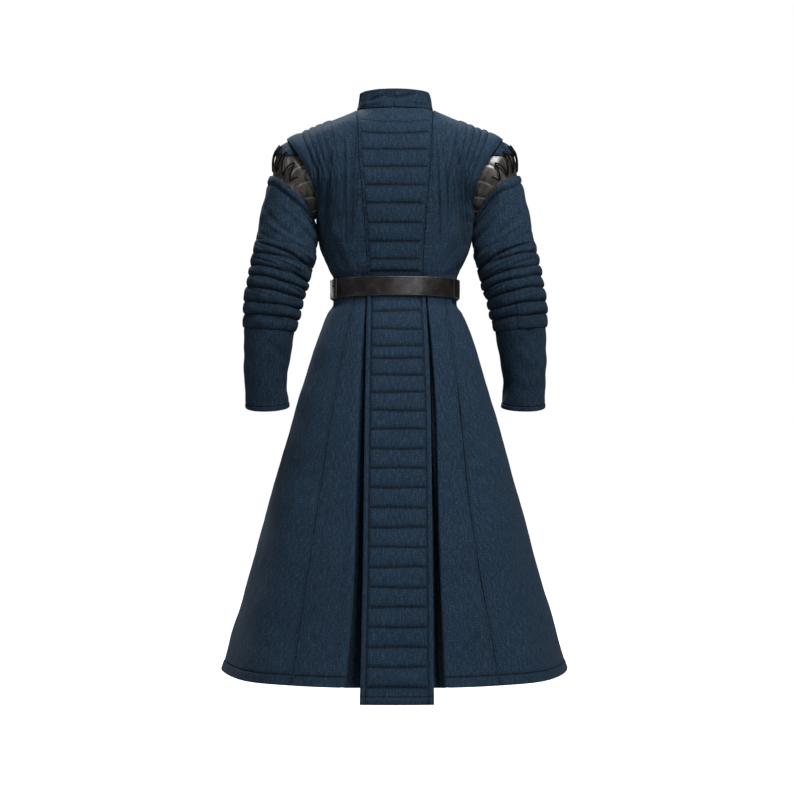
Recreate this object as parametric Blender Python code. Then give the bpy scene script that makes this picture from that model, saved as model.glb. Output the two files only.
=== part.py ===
"""A long quilted coat, as worn, hollow. Metres, +Z up, the coat faces -Y and its left side is +X.
The origin is in the middle of the neck opening, where the wearer's shoulders carry the coat.
Every cloth piece is a wall: a base surface worked out from the tables below, with the quilting
raised on its outer points and a plain inside."""

from math import acos, asin, cos, pi, radians, sin, sqrt

import bmesh
import bpy
import numpy as np
from mathutils import Vector

for thing in list(bpy.data.objects):
    bpy.data.objects.remove(thing, do_unlink=True)

# Gaps and cloth
SEAM = 0.00016          # each piece keeps this far back from its seam, 0.3 mm between two
SEAM_AT_NECK = 0.0004   # more at the neck, where the shoulder bends across the seam
LAID = 0.0004           # a piece that lies on another one clears it by this much
BODICE_CLOTH = 0.0045   # padded cloth of the bodice, tail and sleeves
SKIRT_CLOTH = 0.0035
COLLAR_CLOTH = 0.0045
CAP_CLOTH = 0.0025
BAND_LEATHER = 0.0024
BELT_LEATHER = 0.0035

# Levels
WAIST_Z = -0.4256
UNDERARM_Z = -0.262
BLADE_Z = -0.120        # above this level the back arches over to the shoulder
HEM_Z = -1.325
TAIL_END_Z = -1.3604
NECK_HALF = 0.092       # the neck opening at the shoulder seam
NECK_BACK = 0.062
NECK_FRONT = 0.060
RIDGE_AT_MIDDLE = 0.040  # the shoulder ridge, carried on to the middle of the back
RIDGE_SLOPE = 0.414
ROUNDNESS = 2.3         # 2 is an ellipse, more is squarer

# Bodice levels: z, half width of the whole section, depth behind, depth in front,
# x where the cloth ends at the armhole or the side seam
BODICE_LEVELS = (
    (WAIST_Z, 0.1468, 0.0985, 0.1015, 0.1468),
    (-0.397, 0.1468, 0.0985, 0.1015, 0.1468),
    (-0.383, 0.1520, 0.1035, 0.111, 0.1520),
    (-0.343, 0.1645, 0.1080, 0.116, 0.1645),
    (-0.300, 0.1755, 0.1150, 0.121, 0.1755),
    (UNDERARM_Z, 0.1810, 0.1210, 0.125, 0.1810),
    (-0.235, 0.1900, 0.1240, 0.127, 0.1820),
    (-0.200, 0.2180, 0.1260, 0.128, 0.1880),
    (-0.160, 0.2680, 0.1260, 0.126, 0.2010),
    (BLADE_Z, 0.2940, 0.1230, 0.119, 0.2225),
)
# x of the armhole edge above the blade level, by the share of the arch behind it
FLANGE_EDGE = ((0.0, 0.2225), (0.30, 0.2400), (0.65, 0.2530), (1.0, 0.2575))
# x of the seam between the centre back panel and the side backs, straight between these levels
BACK_SEAM = ((WAIST_Z, 0.0650), (-0.343, 0.0665), (UNDERARM_Z, 0.0715), (BLADE_Z, 0.0840))
# Quilting lines of the centre back panel, z
BACK_LINES = (-0.0356, -0.0650, -0.1036, -0.1430, -0.1860, -0.2280, -0.2733, -0.3167, -0.3573, -0.3838)
BACK_PUFF = 0.0035
# Shoulder channels: share of the way from the seam to the armhole, at the ridge and at the chest,
# and the height of the channel on the inner side of the line
CHANNELS = (
    (0.30, 0.36, 0.0015),
    (0.42, 0.50, 0.0030),
    (0.52, 0.62, 0.0040),
    (0.61, 0.74, 0.0045),
    (0.71, 0.86, 0.0050),
    (1.00, 1.00, 0.0045),
)
CHANNELS_END_Z = -0.262   # the channels have run out here

FRONT_OF_ARM = 0.92       # the rings reach less far forward than back
# Arm rings: half rings from the shoulder round the back to the underarm, x, y, z at each station;
# the front is the same with y turned round
BAND_TOP = ((0.2320, 0.000, -0.0657), (0.2240, 0.056, -0.0904), (0.1960, 0.0800, -0.1500),
            (0.1740, 0.042, -0.2120), (0.1700, 0.0, -0.2420))
BAND_MIDDLE = ((0.2745, 0.000, -0.0905), (0.2570, 0.060, -0.1080), (0.2230, 0.0815, -0.1570),
               (0.1920, 0.046, -0.2130), (0.1820, 0.0, -0.2490))
SLEEVE_HEAD = ((0.2970, 0.000, -0.1525), (0.2790, 0.058, -0.1600), (0.2430, 0.0830, -0.1810),
               (0.2095, 0.054, -0.2190), (0.1895, 0.0, -0.2600))
# Sleeve rings: outer x and z, inner x and z, y of the middle, half depth, rise of the back of the ring
SLEEVE_RINGS = (
    (0.3200, -0.2450, 0.1868, -0.2950, 0.003, 0.0770, 0.008),
    (0.3300, -0.3080, 0.1885, -0.3367, 0.009, 0.0730, 0.008),
    (0.3347, -0.3390, 0.1990, -0.3727, 0.012, 0.0705, 0.008),
    (0.3405, -0.3686, 0.2080, -0.4060, 0.014, 0.0690, 0.008),
    (0.3450, -0.3917, 0.2136, -0.4260, 0.015, 0.0680, 0.007),
    (0.3500, -0.4195, 0.2207, -0.4474, 0.015, 0.0665, 0.006),
    (0.3555, -0.4531, 0.2271, -0.4722, 0.013, 0.0645, 0.005),
    (0.3571, -0.4817, 0.2319, -0.4962, 0.010, 0.0630, 0.003),
    (0.3586, -0.5136, 0.2383, -0.5241, 0.006, 0.0605, 0.000),
    (0.3610, -0.5900, 0.2510, -0.5930, -0.008, 0.0560, -0.005),
    (0.3595, -0.6477, 0.2583, -0.6477, -0.021, 0.0530, -0.008),
    (0.3579, -0.7048, 0.2536, -0.7030, -0.034, 0.0545, -0.010),
)
ELBOW_FROM, ELBOW_TO = 2, 9   # the rolled part, by ring number, counting the head as ring 0
ROLL_PUFF = 0.0060
BAND_PLATES = 14          # leather plates round the band
BAND_STEP = 0.0012        # how far one plate stands over the next
BAND_TUCK = 0.07          # how far down the upper sleeve the band reaches inside it
# Under-cap: how far round the arm on each side, as a share of a turn, and the stretch of the band
# that it covers
CAP_REACH = 0.17
CAP_HIGH_V, CAP_LOW_V, CAP_END_V = 0.06, 0.50, 0.36
CAP_CLEAR = 0.0010
BAND_IN_SLEEVE = 0.0014   # room between the band and the sleeve's inner face
# Lace: degrees round the arm, place down the band, height over it
LACE_RADIUS = 0.0013
LACE_CLEAR = 0.0014
LACE_ON_CAP = BAND_STEP + CAP_CLEAR + CAP_CLOTH + LACE_CLEAR + LACE_RADIUS
LACE_ON_BAND = BAND_STEP + LAID + LACE_RADIUS
LACE_STEP = 24            # degrees from one crossing to the next
LACE_HALF_TURNS = 4       # crossings on each side of the shoulder's top
# One crossing out and back: share of the step, place down the band, height over the band
LACE_CROSSING = (
    (0.00, 0.33, LACE_ON_CAP),
    (0.16, 0.47, LACE_ON_CAP),
    (0.26, 0.56, LACE_ON_CAP - 0.0006),
    (0.50, 0.72, LACE_ON_BAND),
    (0.74, 0.56, LACE_ON_CAP - 0.0006),
    (0.84, 0.47, LACE_ON_CAP),
)

# Skirt levels: z, half width, depth behind, depth in front
SKIRT_LEVELS = (
    (WAIST_Z, 0.1468, 0.0985, 0.1015),
    (-0.4590, 0.1468, 0.0985, 0.1015),
    (-0.4800, 0.1600, 0.1100, 0.115),
    (-0.5550, 0.1890, 0.1370, 0.140),
    (-0.6980, 0.2330, 0.1800, 0.180),
    (-0.8400, 0.2730, 0.2150, 0.212),
    (-1.0905, 0.3420, 0.2800, 0.272),
    (HEM_Z, 0.4100, 0.3400, 0.330),
    (-1.3700, 0.4250, 0.3540, 0.342),
)
# Pleats beside the tail: z, x of the fold on the left and on the right, how deep the fold goes in
PLEATS = (
    (WAIST_Z, 0.0672, 0.0730, 0.0062),
    (-0.560, 0.0770, 0.0850, 0.0180),
    (-0.730, 0.0850, 0.0950, 0.0300),
    (-1.000, 0.0900, 0.1000, 0.0480),
    (HEM_Z, 0.1110, 0.1110, 0.0700),
)
# Tail: z, x of its left and its right edge
TAIL_EDGES = (
    (WAIST_Z, 0.0664, -0.0721),
    (-0.730, 0.0703, -0.0835),
    (-1.050, 0.0728, -0.0857),
    (TAIL_END_Z, 0.0782, -0.0875),
)
TAIL_FIRST_LINE_Z = -0.4786
TAIL_ROLLS_MM = (43, 40, 28, 39, 40, 42, 42, 45, 44, 44, 45, 44, 44, 44, 45, 43, 44, 43, 43, 43)
TAIL_PUFF = 0.0040
# Gore seams: z, x of the back seam on the left and on the right, angle of the front seam in degrees
GORE_SEAMS = (
    (WAIST_Z, 0.0905, 0.1160, 128),
    (-0.688, 0.1413, 0.1480, 130),
    (-0.934, 0.1770, 0.1720, 132),
    (HEM_Z, 0.2330, 0.2350, 134),
)
# Soft flutes of the skirt: degrees from the middle of the back, width in degrees, height at the hem
FLUTES = ((48, 16, 0.006), (74, 18, -0.005), (102, 20, 0.006), (127, 15, -0.006), (148, 16, 0.007))

# Fronts: the right one lies over the left one
FRONT_SHARE = 0.45       # share of a front's columns that lie inside the shoulder channels
OVERLAP_HALF = 0.028
OVERLAP_STEP = 0.045
OVERLAP_CLEAR = 0.0016   # room between the two fronts

# Belt: half width, depth behind and depth in front of its inner face
BELT_RING = (0.1478, 0.0997, 0.1094)
BELT_HALF_HEIGHT = 0.0222
BELT_MIDDLE_Z = -0.4256
BELT_TILT = 0.066        # it lies lower in front
BELT_SIDE_END = 62       # degrees from the middle of the back where the front straps end
BELT_BACK_END = 80       # degrees where the back strap ends, below the front straps
BUCKLE_X = 0.004
BUCKLE_HALF_WIDTH = 0.024
BUCKLE_HALF_HEIGHT = 0.0275
BUCKLE_ROD = 0.0026
BUCKLE_STRAP_END = 170.4   # degrees, just before the buckle's own bar
TONGUE_RISE = (175, 184)  # the tongue rises through the buckle between these
TONGUE_OFF = 0.0060      # how far off the belt's inner face it then lies
TONGUE_END = 142
PRONG_RADIUS = 0.0018
KEEPER_X = 0.052
KEEPER_WALL = 0.0018

# Collar: it stands on the neck seam; its upper edge has a half width, a depth behind and in front,
# and a height behind, at the side and in front
COLLAR_OVER_SEAM = 0.0008
COLLAR_TOP = (0.0835, 0.0600, 0.0640, 0.0480, 0.0430, 0.0200)
COLLAR_OPENING = 5       # degrees on each side of the centre front
COLLAR_CREASE = 0.55     # share of its height

BLUE = (0.014, 0.030, 0.052, 1)
DARK_LEATHER = (0.030, 0.025, 0.023, 1)
STEEL = (0.35, 0.33, 0.31, 1)


def material(name, colour, roughness, metallic=0.0):
    made = bpy.data.materials.new(name)
    made.use_nodes = True
    shader = made.node_tree.nodes["Principled BSDF"]
    shader.inputs["Base Color"].default_value = colour
    shader.inputs["Roughness"].default_value = roughness
    shader.inputs["Metallic"].default_value = metallic
    return made


CLOTH = material("quilted_wool", BLUE, 0.9)
LEATHER = material("black_brown_leather", DARK_LEATHER, 0.45)
LACE = material("black_lace", (0.006, 0.006, 0.006, 1), 0.7)
METAL = material("dark_steel", STEEL, 0.4, 1.0)


def curve(table, column, at):
    """One column of a table at a value of its first column: a smooth line that never overshoots."""
    keys = np.array([row[0] for row in table], float)
    values = np.array([row[column] for row in table], float)
    if keys[0] > keys[-1]:
        keys, values = keys[::-1], values[::-1]
    at = min(max(at, keys[0]), keys[-1])
    steps = np.diff(keys)
    slopes = np.diff(values) / steps
    bends = np.zeros(len(keys))
    bends[0], bends[-1] = slopes[0], slopes[-1]
    for i in range(1, len(keys) - 1):
        if slopes[i - 1] * slopes[i] > 0:
            near, far = 2 * steps[i] + steps[i - 1], steps[i] + 2 * steps[i - 1]
            bends[i] = (near + far) / (near / slopes[i - 1] + far / slopes[i])
    i = int(min(np.searchsorted(keys, at, "right") - 1, len(steps) - 1))
    f = (at - keys[i]) / steps[i]
    return float(
        (1 + 2 * f) * (1 - f) ** 2 * values[i] + f * (1 - f) ** 2 * steps[i] * bends[i]
        + f * f * (3 - 2 * f) * values[i + 1] - f * f * (1 - f) * steps[i] * bends[i + 1]
    )


def mix(a, b, share):
    return a + (b - a) * share


def smooth(low, high, value):
    """0 below low, 1 above high, an even S between them."""
    f = min(max((value - low) / (high - low), 0.0), 1.0)
    return f * f * (3 - 2 * f)


def spread(low, high, count):
    """count + 1 even values from low to high."""
    return [mix(low, high, i / count) for i in range(count + 1)]


def pillow(value, lines, height, softness=0.5):
    """Height of the padding between the quilting lines on each side of this value."""
    lines = sorted(lines)
    for low, high in zip(lines, lines[1:]):
        if low <= value <= high:
            f = (value - low) / (high - low)
            return height * max(sin(pi * f), 0.0) ** softness
    return 0.0


# Walls

def normal_at(base, u, v, outwards):
    """Unit normal of a base surface, on the side that outwards gives as +1 or -1."""
    step = 1e-3
    across = base(min(u + step, 1), v) - base(max(u - step, 0), v)
    along = base(u, min(v + step, 1)) - base(u, max(v - step, 0))
    return across.cross(along).normalized() * outwards


def sheet(base, us, vs, outwards, offset, back_off, closed=False):
    """A grid of points on the base, moved out by offset(u, v). Free edges keep back from their seams:
    back_off is four true values, for the first and last column and the first and last row."""
    grid = [[base(u, v) + normal_at(base, u, v, outwards) * offset(u, v) for u in us] for v in vs]
    keep_back(grid, back_off, closed)
    return grid


def keep_back(grid, back_off, closed=False):
    """Moves a grid's border points back from their seams."""
    rows, columns = len(grid), len(grid[0])

    def pull(r, c, r_to, c_to):
        way = grid[r_to][c_to] - grid[r][c]
        return way.normalized() * SEAM

    moves = []
    for r in range(rows):
        if not closed and back_off[0]:
            moves.append((r, 0, pull(r, 0, r, 1)))
        if not closed and back_off[1]:
            moves.append((r, columns - 1, pull(r, columns - 1, r, columns - 2)))
    for c in range(columns):
        if back_off[2]:
            moves.append((0, c, pull(0, c, 1, c)))
        if back_off[3]:
            moves.append((rows - 1, c, pull(rows - 1, c, rows - 2, c)))
    for r, c, way in moves:
        grid[r][c] = grid[r][c] + way


def zipped(first, second, at_first, at_second, faces):
    """Triangles between two rows of points with different counts, matched by their positions."""
    i = j = 0
    while i < len(first) - 1 or j < len(second) - 1:
        next_i = at_first[i + 1] if i < len(first) - 1 else 2e9
        next_j = at_second[j + 1] if j < len(second) - 1 else 2e9
        if next_i <= next_j:
            faces.append((first[i], first[i + 1], second[j]))
            i += 1
        else:
            faces.append((first[i], second[j + 1], second[j]))
            j += 1


def finish(name, points, faces, surface):
    """An object from points and faces, closed and facing out."""
    mesh = bpy.data.meshes.new(name)
    mesh.from_pydata([tuple(p) for p in points], [], faces)
    shape = bmesh.new()
    shape.from_mesh(mesh)
    bmesh.ops.recalc_face_normals(shape, faces=shape.faces)
    if shape.calc_volume(signed=True) < 0:
        bmesh.ops.reverse_faces(shape, faces=shape.faces)
    shape.to_mesh(mesh)
    shape.free()
    mesh.shade_smooth()
    mesh.set_sharp_from_angle(angle=radians(40))
    mesh.materials.append(surface)
    made = bpy.data.objects.new(name, mesh)
    bpy.context.scene.collection.objects.link(made)
    return made


def wall(name, outer, inner, fine, coarse, surface, closed=False):
    """A closed wall between an outer and an inner grid: fine and coarse are each (us, vs) of a grid."""
    points = []
    numbers = []
    for grid in (outer, inner):
        numbers.append([[len(points) + c + r * len(grid[0]) for c in range(len(grid[0]))]
                        for r in range(len(grid))])
        points += [p for row in grid for p in row]
    faces = []
    for table in numbers:
        for low, high in zip(table, table[1:]):
            count = len(low)
            for c in range(count if closed else count - 1):
                n = (c + 1) % count
                faces.append((low[c], low[n], high[n], high[c]))
    out, within = numbers
    (us, vs), (inner_us, inner_vs) = fine, coarse
    for r in (0, -1):
        first, second = list(out[r]), list(within[r])
        at_first, at_second = list(us), list(inner_us)
        if closed:
            first, second = first + first[:1], second + second[:1]
            at_first, at_second = at_first + [1.0], at_second + [1.0]
        zipped(first, second, at_first, at_second, faces)
    if not closed:
        for c in (0, -1):
            zipped([row[c] for row in out], [row[c] for row in within], vs, inner_vs, faces)
    return finish(name, points, faces, surface)


def panel(name, base, fine, coarse, thickness, surface, raised=None, outwards=1,
          back_off=(True, True, True, True), closed=False):
    """A wall on a base surface: raised(u, v) on its outer side, plain at thickness inside."""
    lift = raised or (lambda u, v: 0.0)
    outer = sheet(base, fine[0], fine[1], outwards, lift, back_off, closed)
    inner = sheet(base, coarse[0], coarse[1], outwards, lambda u, v: -thickness, back_off, closed)
    return wall(name, outer, inner, fine, coarse, surface, closed)


# Bodice surfaces

def ridge_z(x):
    """Height of the shoulder ridge above a point of the back, or of the neck seam's virtual ridge."""
    return RIDGE_AT_MIDDLE - RIDGE_SLOPE * x


def depth_at(x, half_width, depth):
    share = min(abs(x) / half_width, 1.0)
    return depth * (1 - share ** ROUNDNESS) ** (1 / ROUNDNESS)


def arch_end(x, front):
    """Angle of the arch where the cloth ends: the ridge, or the neck seam inside the neck's width."""
    if abs(x) >= NECK_HALF:
        return pi / 2
    depth = depth_at(x, BODICE_LEVELS[-1][1], BODICE_LEVELS[-1][3 if front else 2])
    neck = (NECK_FRONT if front else NECK_BACK) * sqrt(1 - (x / NECK_HALF) ** 2)
    return acos(neck / depth)


def neck_z(x, front):
    """The neck seam is level behind and dips in front."""
    side = ridge_z(NECK_HALF)
    if abs(x) >= NECK_HALF:
        return ridge_z(abs(x))
    dip = sqrt(1 - (x / NECK_HALF) ** 2)
    return side - (0.034 * dip ** 1.5 if front else 0.0)


def edge_x(level):
    """x of the armhole or side seam: level is a z up to the blade, then 1 + the share of the arch."""
    if level <= 0:
        return curve(BODICE_LEVELS, 4, level)
    return curve(FLANGE_EDGE, 1, level - 1)


def seam_x(level):
    if level <= 0:
        return float(np.interp(level, [row[0] for row in BACK_SEAM], [row[1] for row in BACK_SEAM]))
    return mix(BACK_SEAM[-1][1], NECK_HALF, level - 1)


def bodice_point(x, level, front=False):
    """A point of the bodice's base surface at x: level is a z up to the blade level, and above it
    1 + the share of the arch over the shoulder."""
    side = -1 if front else 1
    if level <= 0:
        half = curve(BODICE_LEVELS, 1, level)
        depth = curve(BODICE_LEVELS, 3 if front else 2, level)
        return Vector((x, side * depth_at(x, half, depth), level))
    half, depth = BODICE_LEVELS[-1][1], BODICE_LEVELS[-1][3 if front else 2]
    end = arch_end(x, front)
    turn = (level - 1) * end
    rise = (neck_z(x, front) - BLADE_Z) / sin(end)
    return Vector((x, side * depth_at(x, half, depth) * cos(turn), BLADE_Z + rise * sin(turn)))


LOW_SHARE = 0.62        # share of a panel's rows that lies below the blade level


def level_of(v):
    """Row position 0 to 1 as a level."""
    if v < LOW_SHARE:
        return mix(WAIST_Z, BLADE_Z, v / LOW_SHARE)
    return 1 + (v - LOW_SHARE) / (1 - LOW_SHARE)


def row_of(z):
    """Row position of a z below the blade level."""
    return LOW_SHARE * (z - WAIST_Z) / (BLADE_Z - WAIST_Z)


def arch_row(share):
    return LOW_SHARE + (1 - LOW_SHARE) * share


def side_base(sign, front):
    """Base surface of a side back, or of a front from the centre front: u runs to the armhole."""
    def base(u, v):
        level = level_of(v)
        half = curve(BODICE_LEVELS, 1, level) if level <= 0 else BODICE_LEVELS[-1][1]
        start = asin(min(seam_x(level) / half, 1.0))
        end = asin(min(edge_x(level) / half, 1.0))
        x = half * sin(mix(start, end, u))
        point = bodice_point(x, level, front)
        return Vector((sign * point.x, point.y, point.z))
    return base


def channel_lines(v):
    """The channels' lines at a row, as u."""
    level = level_of(v)
    down = 0.0 if level > 0 else (BLADE_Z - level) / (BLADE_Z - CHANNELS_END_Z)
    over = (level - 1) if level > 0 else 0.0
    share = mix(0.62, 1.0, over) if level > 0 else 0.62 * (1 - min(down, 1.0))
    return [mix(low, high, share) for high, low, _ in CHANNELS]


def channel_lift(u, v):
    level = level_of(v)
    fade = 1.0 if level > 0 else 1 - smooth(0, 1, (BLADE_Z - level) / (BLADE_Z - CHANNELS_END_Z))
    lines = channel_lines(v)
    for i in range(1, len(lines)):
        if lines[i - 1] <= u <= lines[i]:
            f = (u - lines[i - 1]) / (lines[i] - lines[i - 1])
            return CHANNELS[i][2] * fade * max(sin(pi * f), 0.0) ** 0.5
    return 0.0


SIDE_ROWS = [row_of(z) for z in (WAIST_Z, -0.397, -0.383, -0.343, -0.305, UNDERARM_Z, -0.235, -0.200,
                                 -0.160, BLADE_Z)]
SIDE_ROWS += [arch_row(share) for share in (0.25, 0.5, 0.72, 0.88, 1.0)]
SIDE_ROWS_INSIDE = [row_of(z) for z in (WAIST_Z, -0.397, -0.383, -0.343, UNDERARM_Z, -0.235, -0.200,
                                        -0.160, BLADE_Z)]
SIDE_ROWS_INSIDE += [arch_row(share) for share in (0.25, 0.5, 0.72, 0.88, 1.0)]


def side_back(name, sign):
    channelled_panel(name, side_base(sign, False), (0.0, 0.35, 0.7), 0.0, -sign)


def lifted(base, outwards, height):
    """The base surface moved out by height(u, v)."""
    def moved(u, v):
        return base(u, v) + normal_at(base, u, v, outwards) * height(u, v)
    return moved


def over_the_other(x):
    """1 where the right front lies over the left one, by its own x, which is below 0 past the middle."""
    return 1 - smooth(OVERLAP_HALF + 0.002, OVERLAP_STEP, x)


def front_panel(name, sign, lies_over):
    """One front, from its edge past the centre front round to the armhole."""
    def x_at(u, level):
        half = curve(BODICE_LEVELS, 1, level) if level <= 0 else BODICE_LEVELS[-1][1]
        places = (-OVERLAP_HALF, OVERLAP_HALF + 0.002, OVERLAP_STEP, seam_x(level), edge_x(level))
        turns = [asin(min(x / half, 1.0)) for x in places]
        shares = [0.0, 0.5 * FRONT_SHARE, 0.65 * FRONT_SHARE, FRONT_SHARE, 1.0]
        return half * sin(np.interp(u, shares, turns))

    def base(u, v):
        level = level_of(v)
        point = bodice_point(x_at(u, level), level, True)
        return Vector((sign * point.x, point.y, point.z))

    step = lambda u, v: (BODICE_CLOTH + OVERLAP_CLEAR) * over_the_other(x_at(u, level_of(v)))
    shares = [0.0, 0.17, 0.34, 0.5, 0.65, 0.82, 1.0]
    channelled_panel(name, lifted(base, sign, step) if lies_over else base,
                     [s * FRONT_SHARE for s in shares], FRONT_SHARE, sign)


def channelled_panel(name, base, plain, first_u, outwards):
    """A panel with the shoulder channels between first_u and its last column."""
    columns = [(u, None, 0.0) for u in plain]
    for i in range(len(CHANNELS) - 1):
        columns += [(None, i, 0.0), (None, i, 0.22), (None, i, 0.75)]
    columns.append((None, len(CHANNELS) - 2, 1.0))
    if first_u:
        columns.insert(len(plain), (first_u + 0.35 * CHANNELS[0][0] * (1 - first_u), None, 0.0))

    def where(column, v):
        lines = [first_u + line * (1 - first_u) for line in channel_lines(v)]
        u, channel, share = column
        if channel is None:
            return min(u * lines[0] if not first_u else u, lines[0] - 0.01)
        return mix(lines[channel], lines[channel + 1], share)

    def lift(u, v):
        return channel_lift((u - first_u) / (1 - first_u), v) if u > first_u else 0.0

    outer = []
    for v in SIDE_ROWS:
        places = [where(column, v) for column in columns]
        outer.append([base(u, v) + normal_at(base, u, v, outwards) * lift(u, v) for u in places])
    keep_back(outer, (True,) * 4)
    us = spread(0.0, 1.0, 8)
    if first_u:
        us = [s * first_u for s in (0.0, 0.25, 0.5, 0.65, 0.82)] + spread(first_u, 1.0, 7)
    inner = sheet(base, us, SIDE_ROWS_INSIDE, outwards, lambda u, v: -BODICE_CLOTH, (True,) * 4)
    at = [where(column, 1.0) for column in columns]
    return wall(name, outer, inner, (at, SIDE_ROWS), (us, SIDE_ROWS_INSIDE), CLOTH)


# Centre back

def back_line_row(z):
    """Row of a height at the middle of the back."""
    if z <= BLADE_Z:
        return row_of(z)
    end = arch_end(0.0, False)
    top = BLADE_Z + (neck_z(0.0, False) - BLADE_Z) / sin(end)
    return arch_row(asin(min((z - BLADE_Z) / (top - BLADE_Z), 1.0)) / end)


def centre_back_base(u, v):
    level = level_of(v)
    half = seam_x(level) - SEAM_AT_NECK * smooth(1.0, 1.5, level)
    return bodice_point(mix(-half, half, u), level)


def margins(u, edge, inside):
    """1 over the quilted middle of a panel, 0 on the plain strips along its sides."""
    return smooth(edge, inside, u) * smooth(edge, inside, 1 - u)


def quilted_rows(lines, last):
    """Rows at each quilting line and on each side of it."""
    rows = []
    for low, high in zip(lines, lines[1:]):
        rows += [low, mix(low, high, 0.2), mix(low, high, 0.8)]
    return rows + [lines[-1]] + last


def back_centre():
    lines = sorted(back_line_row(z) for z in BACK_LINES)
    rows = quilted_rows(lines, [mix(lines[-1], 1.0, 0.5), 1.0])
    rows = sorted(rows + [0.0] + [row_of(z) for z in (-0.397, -0.343, UNDERARM_Z, BLADE_Z)])
    us = (0.0, 0.055, 0.11, 0.3, 0.5, 0.7, 0.89, 0.945, 1.0)
    inside = ((0.0, 0.25, 0.5, 0.75, 1.0), SIDE_ROWS_INSIDE)
    puffs = lambda u, v: pillow(v, lines, BACK_PUFF) * margins(u, 0.05, 0.11)
    panel("back_centre", centre_back_base, (us, rows), inside, BODICE_CLOTH, CLOTH, puffs, -1)


# Collar

def collar_base(u, v):
    turn = radians(mix(-180 + COLLAR_OPENING, 180 - COLLAR_OPENING, u))
    across, along = sin(turn), cos(turn)
    behind = along > 0
    half, back, front, z_back, z_side, z_front = COLLAR_TOP
    low_x = 0.985 * NECK_HALF * across
    over = COLLAR_OVER_SEAM + (0.0 if behind else 0.0055 * (1 - smooth(0.04, 0.07, abs(low_x))))
    low = Vector((low_x, along * (NECK_BACK + 0.0015 if behind else NECK_FRONT + 0.001),
                  neck_z(low_x, not behind) + over))
    rise = z_side + ((z_back - z_side) * along if behind else (z_front - z_side) * abs(along) ** 1.5)
    top = Vector((half * across, along * (back if behind else front), rise))
    return low.lerp(top, v)


def collar():
    crease = lambda u, v: -0.0012 * max(0.0, 1 - abs(v - COLLAR_CREASE) / 0.14)
    us = spread(0.0, 1.0, 32)
    vs = (0.0, COLLAR_CREASE - 0.14, COLLAR_CREASE, COLLAR_CREASE + 0.14, 1.0)
    panel("collar", collar_base, (us, vs), (us, (0.0, 1.0)), COLLAR_CLOTH, CLOTH, crease, -1,
          (False, False, False, False))


# Arms

def through(knots, points, at):
    """A smooth line through points at uneven knots."""
    at = min(max(at, knots[0]), knots[-1])
    i = 0
    while i < len(knots) - 2 and at > knots[i + 1]:
        i += 1

    def slope(k):
        if k == 0:
            return (points[1] - points[0]) / (knots[1] - knots[0])
        if k == len(knots) - 1:
            return (points[-1] - points[-2]) / (knots[-1] - knots[-2])
        before, after = knots[k] - knots[k - 1], knots[k + 1] - knots[k]
        return ((points[k] - points[k - 1]) / before * after
                + (points[k + 1] - points[k]) / after * before) / (before + after)

    span = knots[i + 1] - knots[i]
    f = (at - knots[i]) / span
    return (
        points[i] * ((1 + 2 * f) * (1 - f) ** 2) + slope(i) * (f * (1 - f) ** 2 * span)
        + points[i + 1] * (f * f * (3 - 2 * f)) - slope(i + 1) * (f * f * (1 - f) * span)
    )


def station_ring(stations):
    """A closed ring through five stations and their mirror images in front."""
    half = [Vector(p) for p in stations]
    ring = half + [Vector((p.x, -p.y * FRONT_OF_ARM, p.z)) for p in half[3:0:-1]]

    def at(turn):
        place = (turn % 1.0) * 8
        i = int(place)
        f = place - i
        a, b, c, d = (ring[(i + k) % 8] for k in (-1, 0, 1, 2))
        return 0.5 * (2 * b + (c - a) * f + (2 * a - 5 * b + 4 * c - d) * f ** 2
                      + (3 * b - 3 * c + d - a) * f ** 3)
    return at


def sleeve_ring(outer_x, outer_z, inner_x, inner_z, middle_y, half_depth, rise):
    def at(turn):
        way = 2 * pi * turn
        share = (1 + cos(way)) / 2
        return Vector((mix(inner_x, outer_x, share), middle_y + half_depth * sin(way),
                       mix(inner_z, outer_z, share) + rise * sin(way)))
    return at


RINGS = [station_ring(SLEEVE_HEAD)] + [sleeve_ring(*row) for row in SLEEVE_RINGS]


def middle_of(ring):
    return (ring(0.0) + ring(0.25) + ring(0.5) + ring(0.75)) / 4


RING_KNOTS = [0.0]
for before, after in zip(RINGS, RINGS[1:]):
    RING_KNOTS.append(RING_KNOTS[-1] + (middle_of(after) - middle_of(before)).length)


def sleeve_base(sign, first, last):
    """Base surface of the sleeve between two rings, u round the arm and v down it."""
    def base(u, v):
        at = mix(RING_KNOTS[first], RING_KNOTS[last], v)
        point = through(RING_KNOTS, [ring(u) for ring in RINGS], at)
        return Vector((sign * point.x, point.y, point.z))
    return base


def tube(name, base, fine, coarse, thickness, surface, raised, outwards, back_off):
    return panel(name, base, fine, coarse, thickness, surface, raised, outwards,
                 (False, False) + back_off, True)


def around(count):
    return [i / count for i in range(count)]


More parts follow.
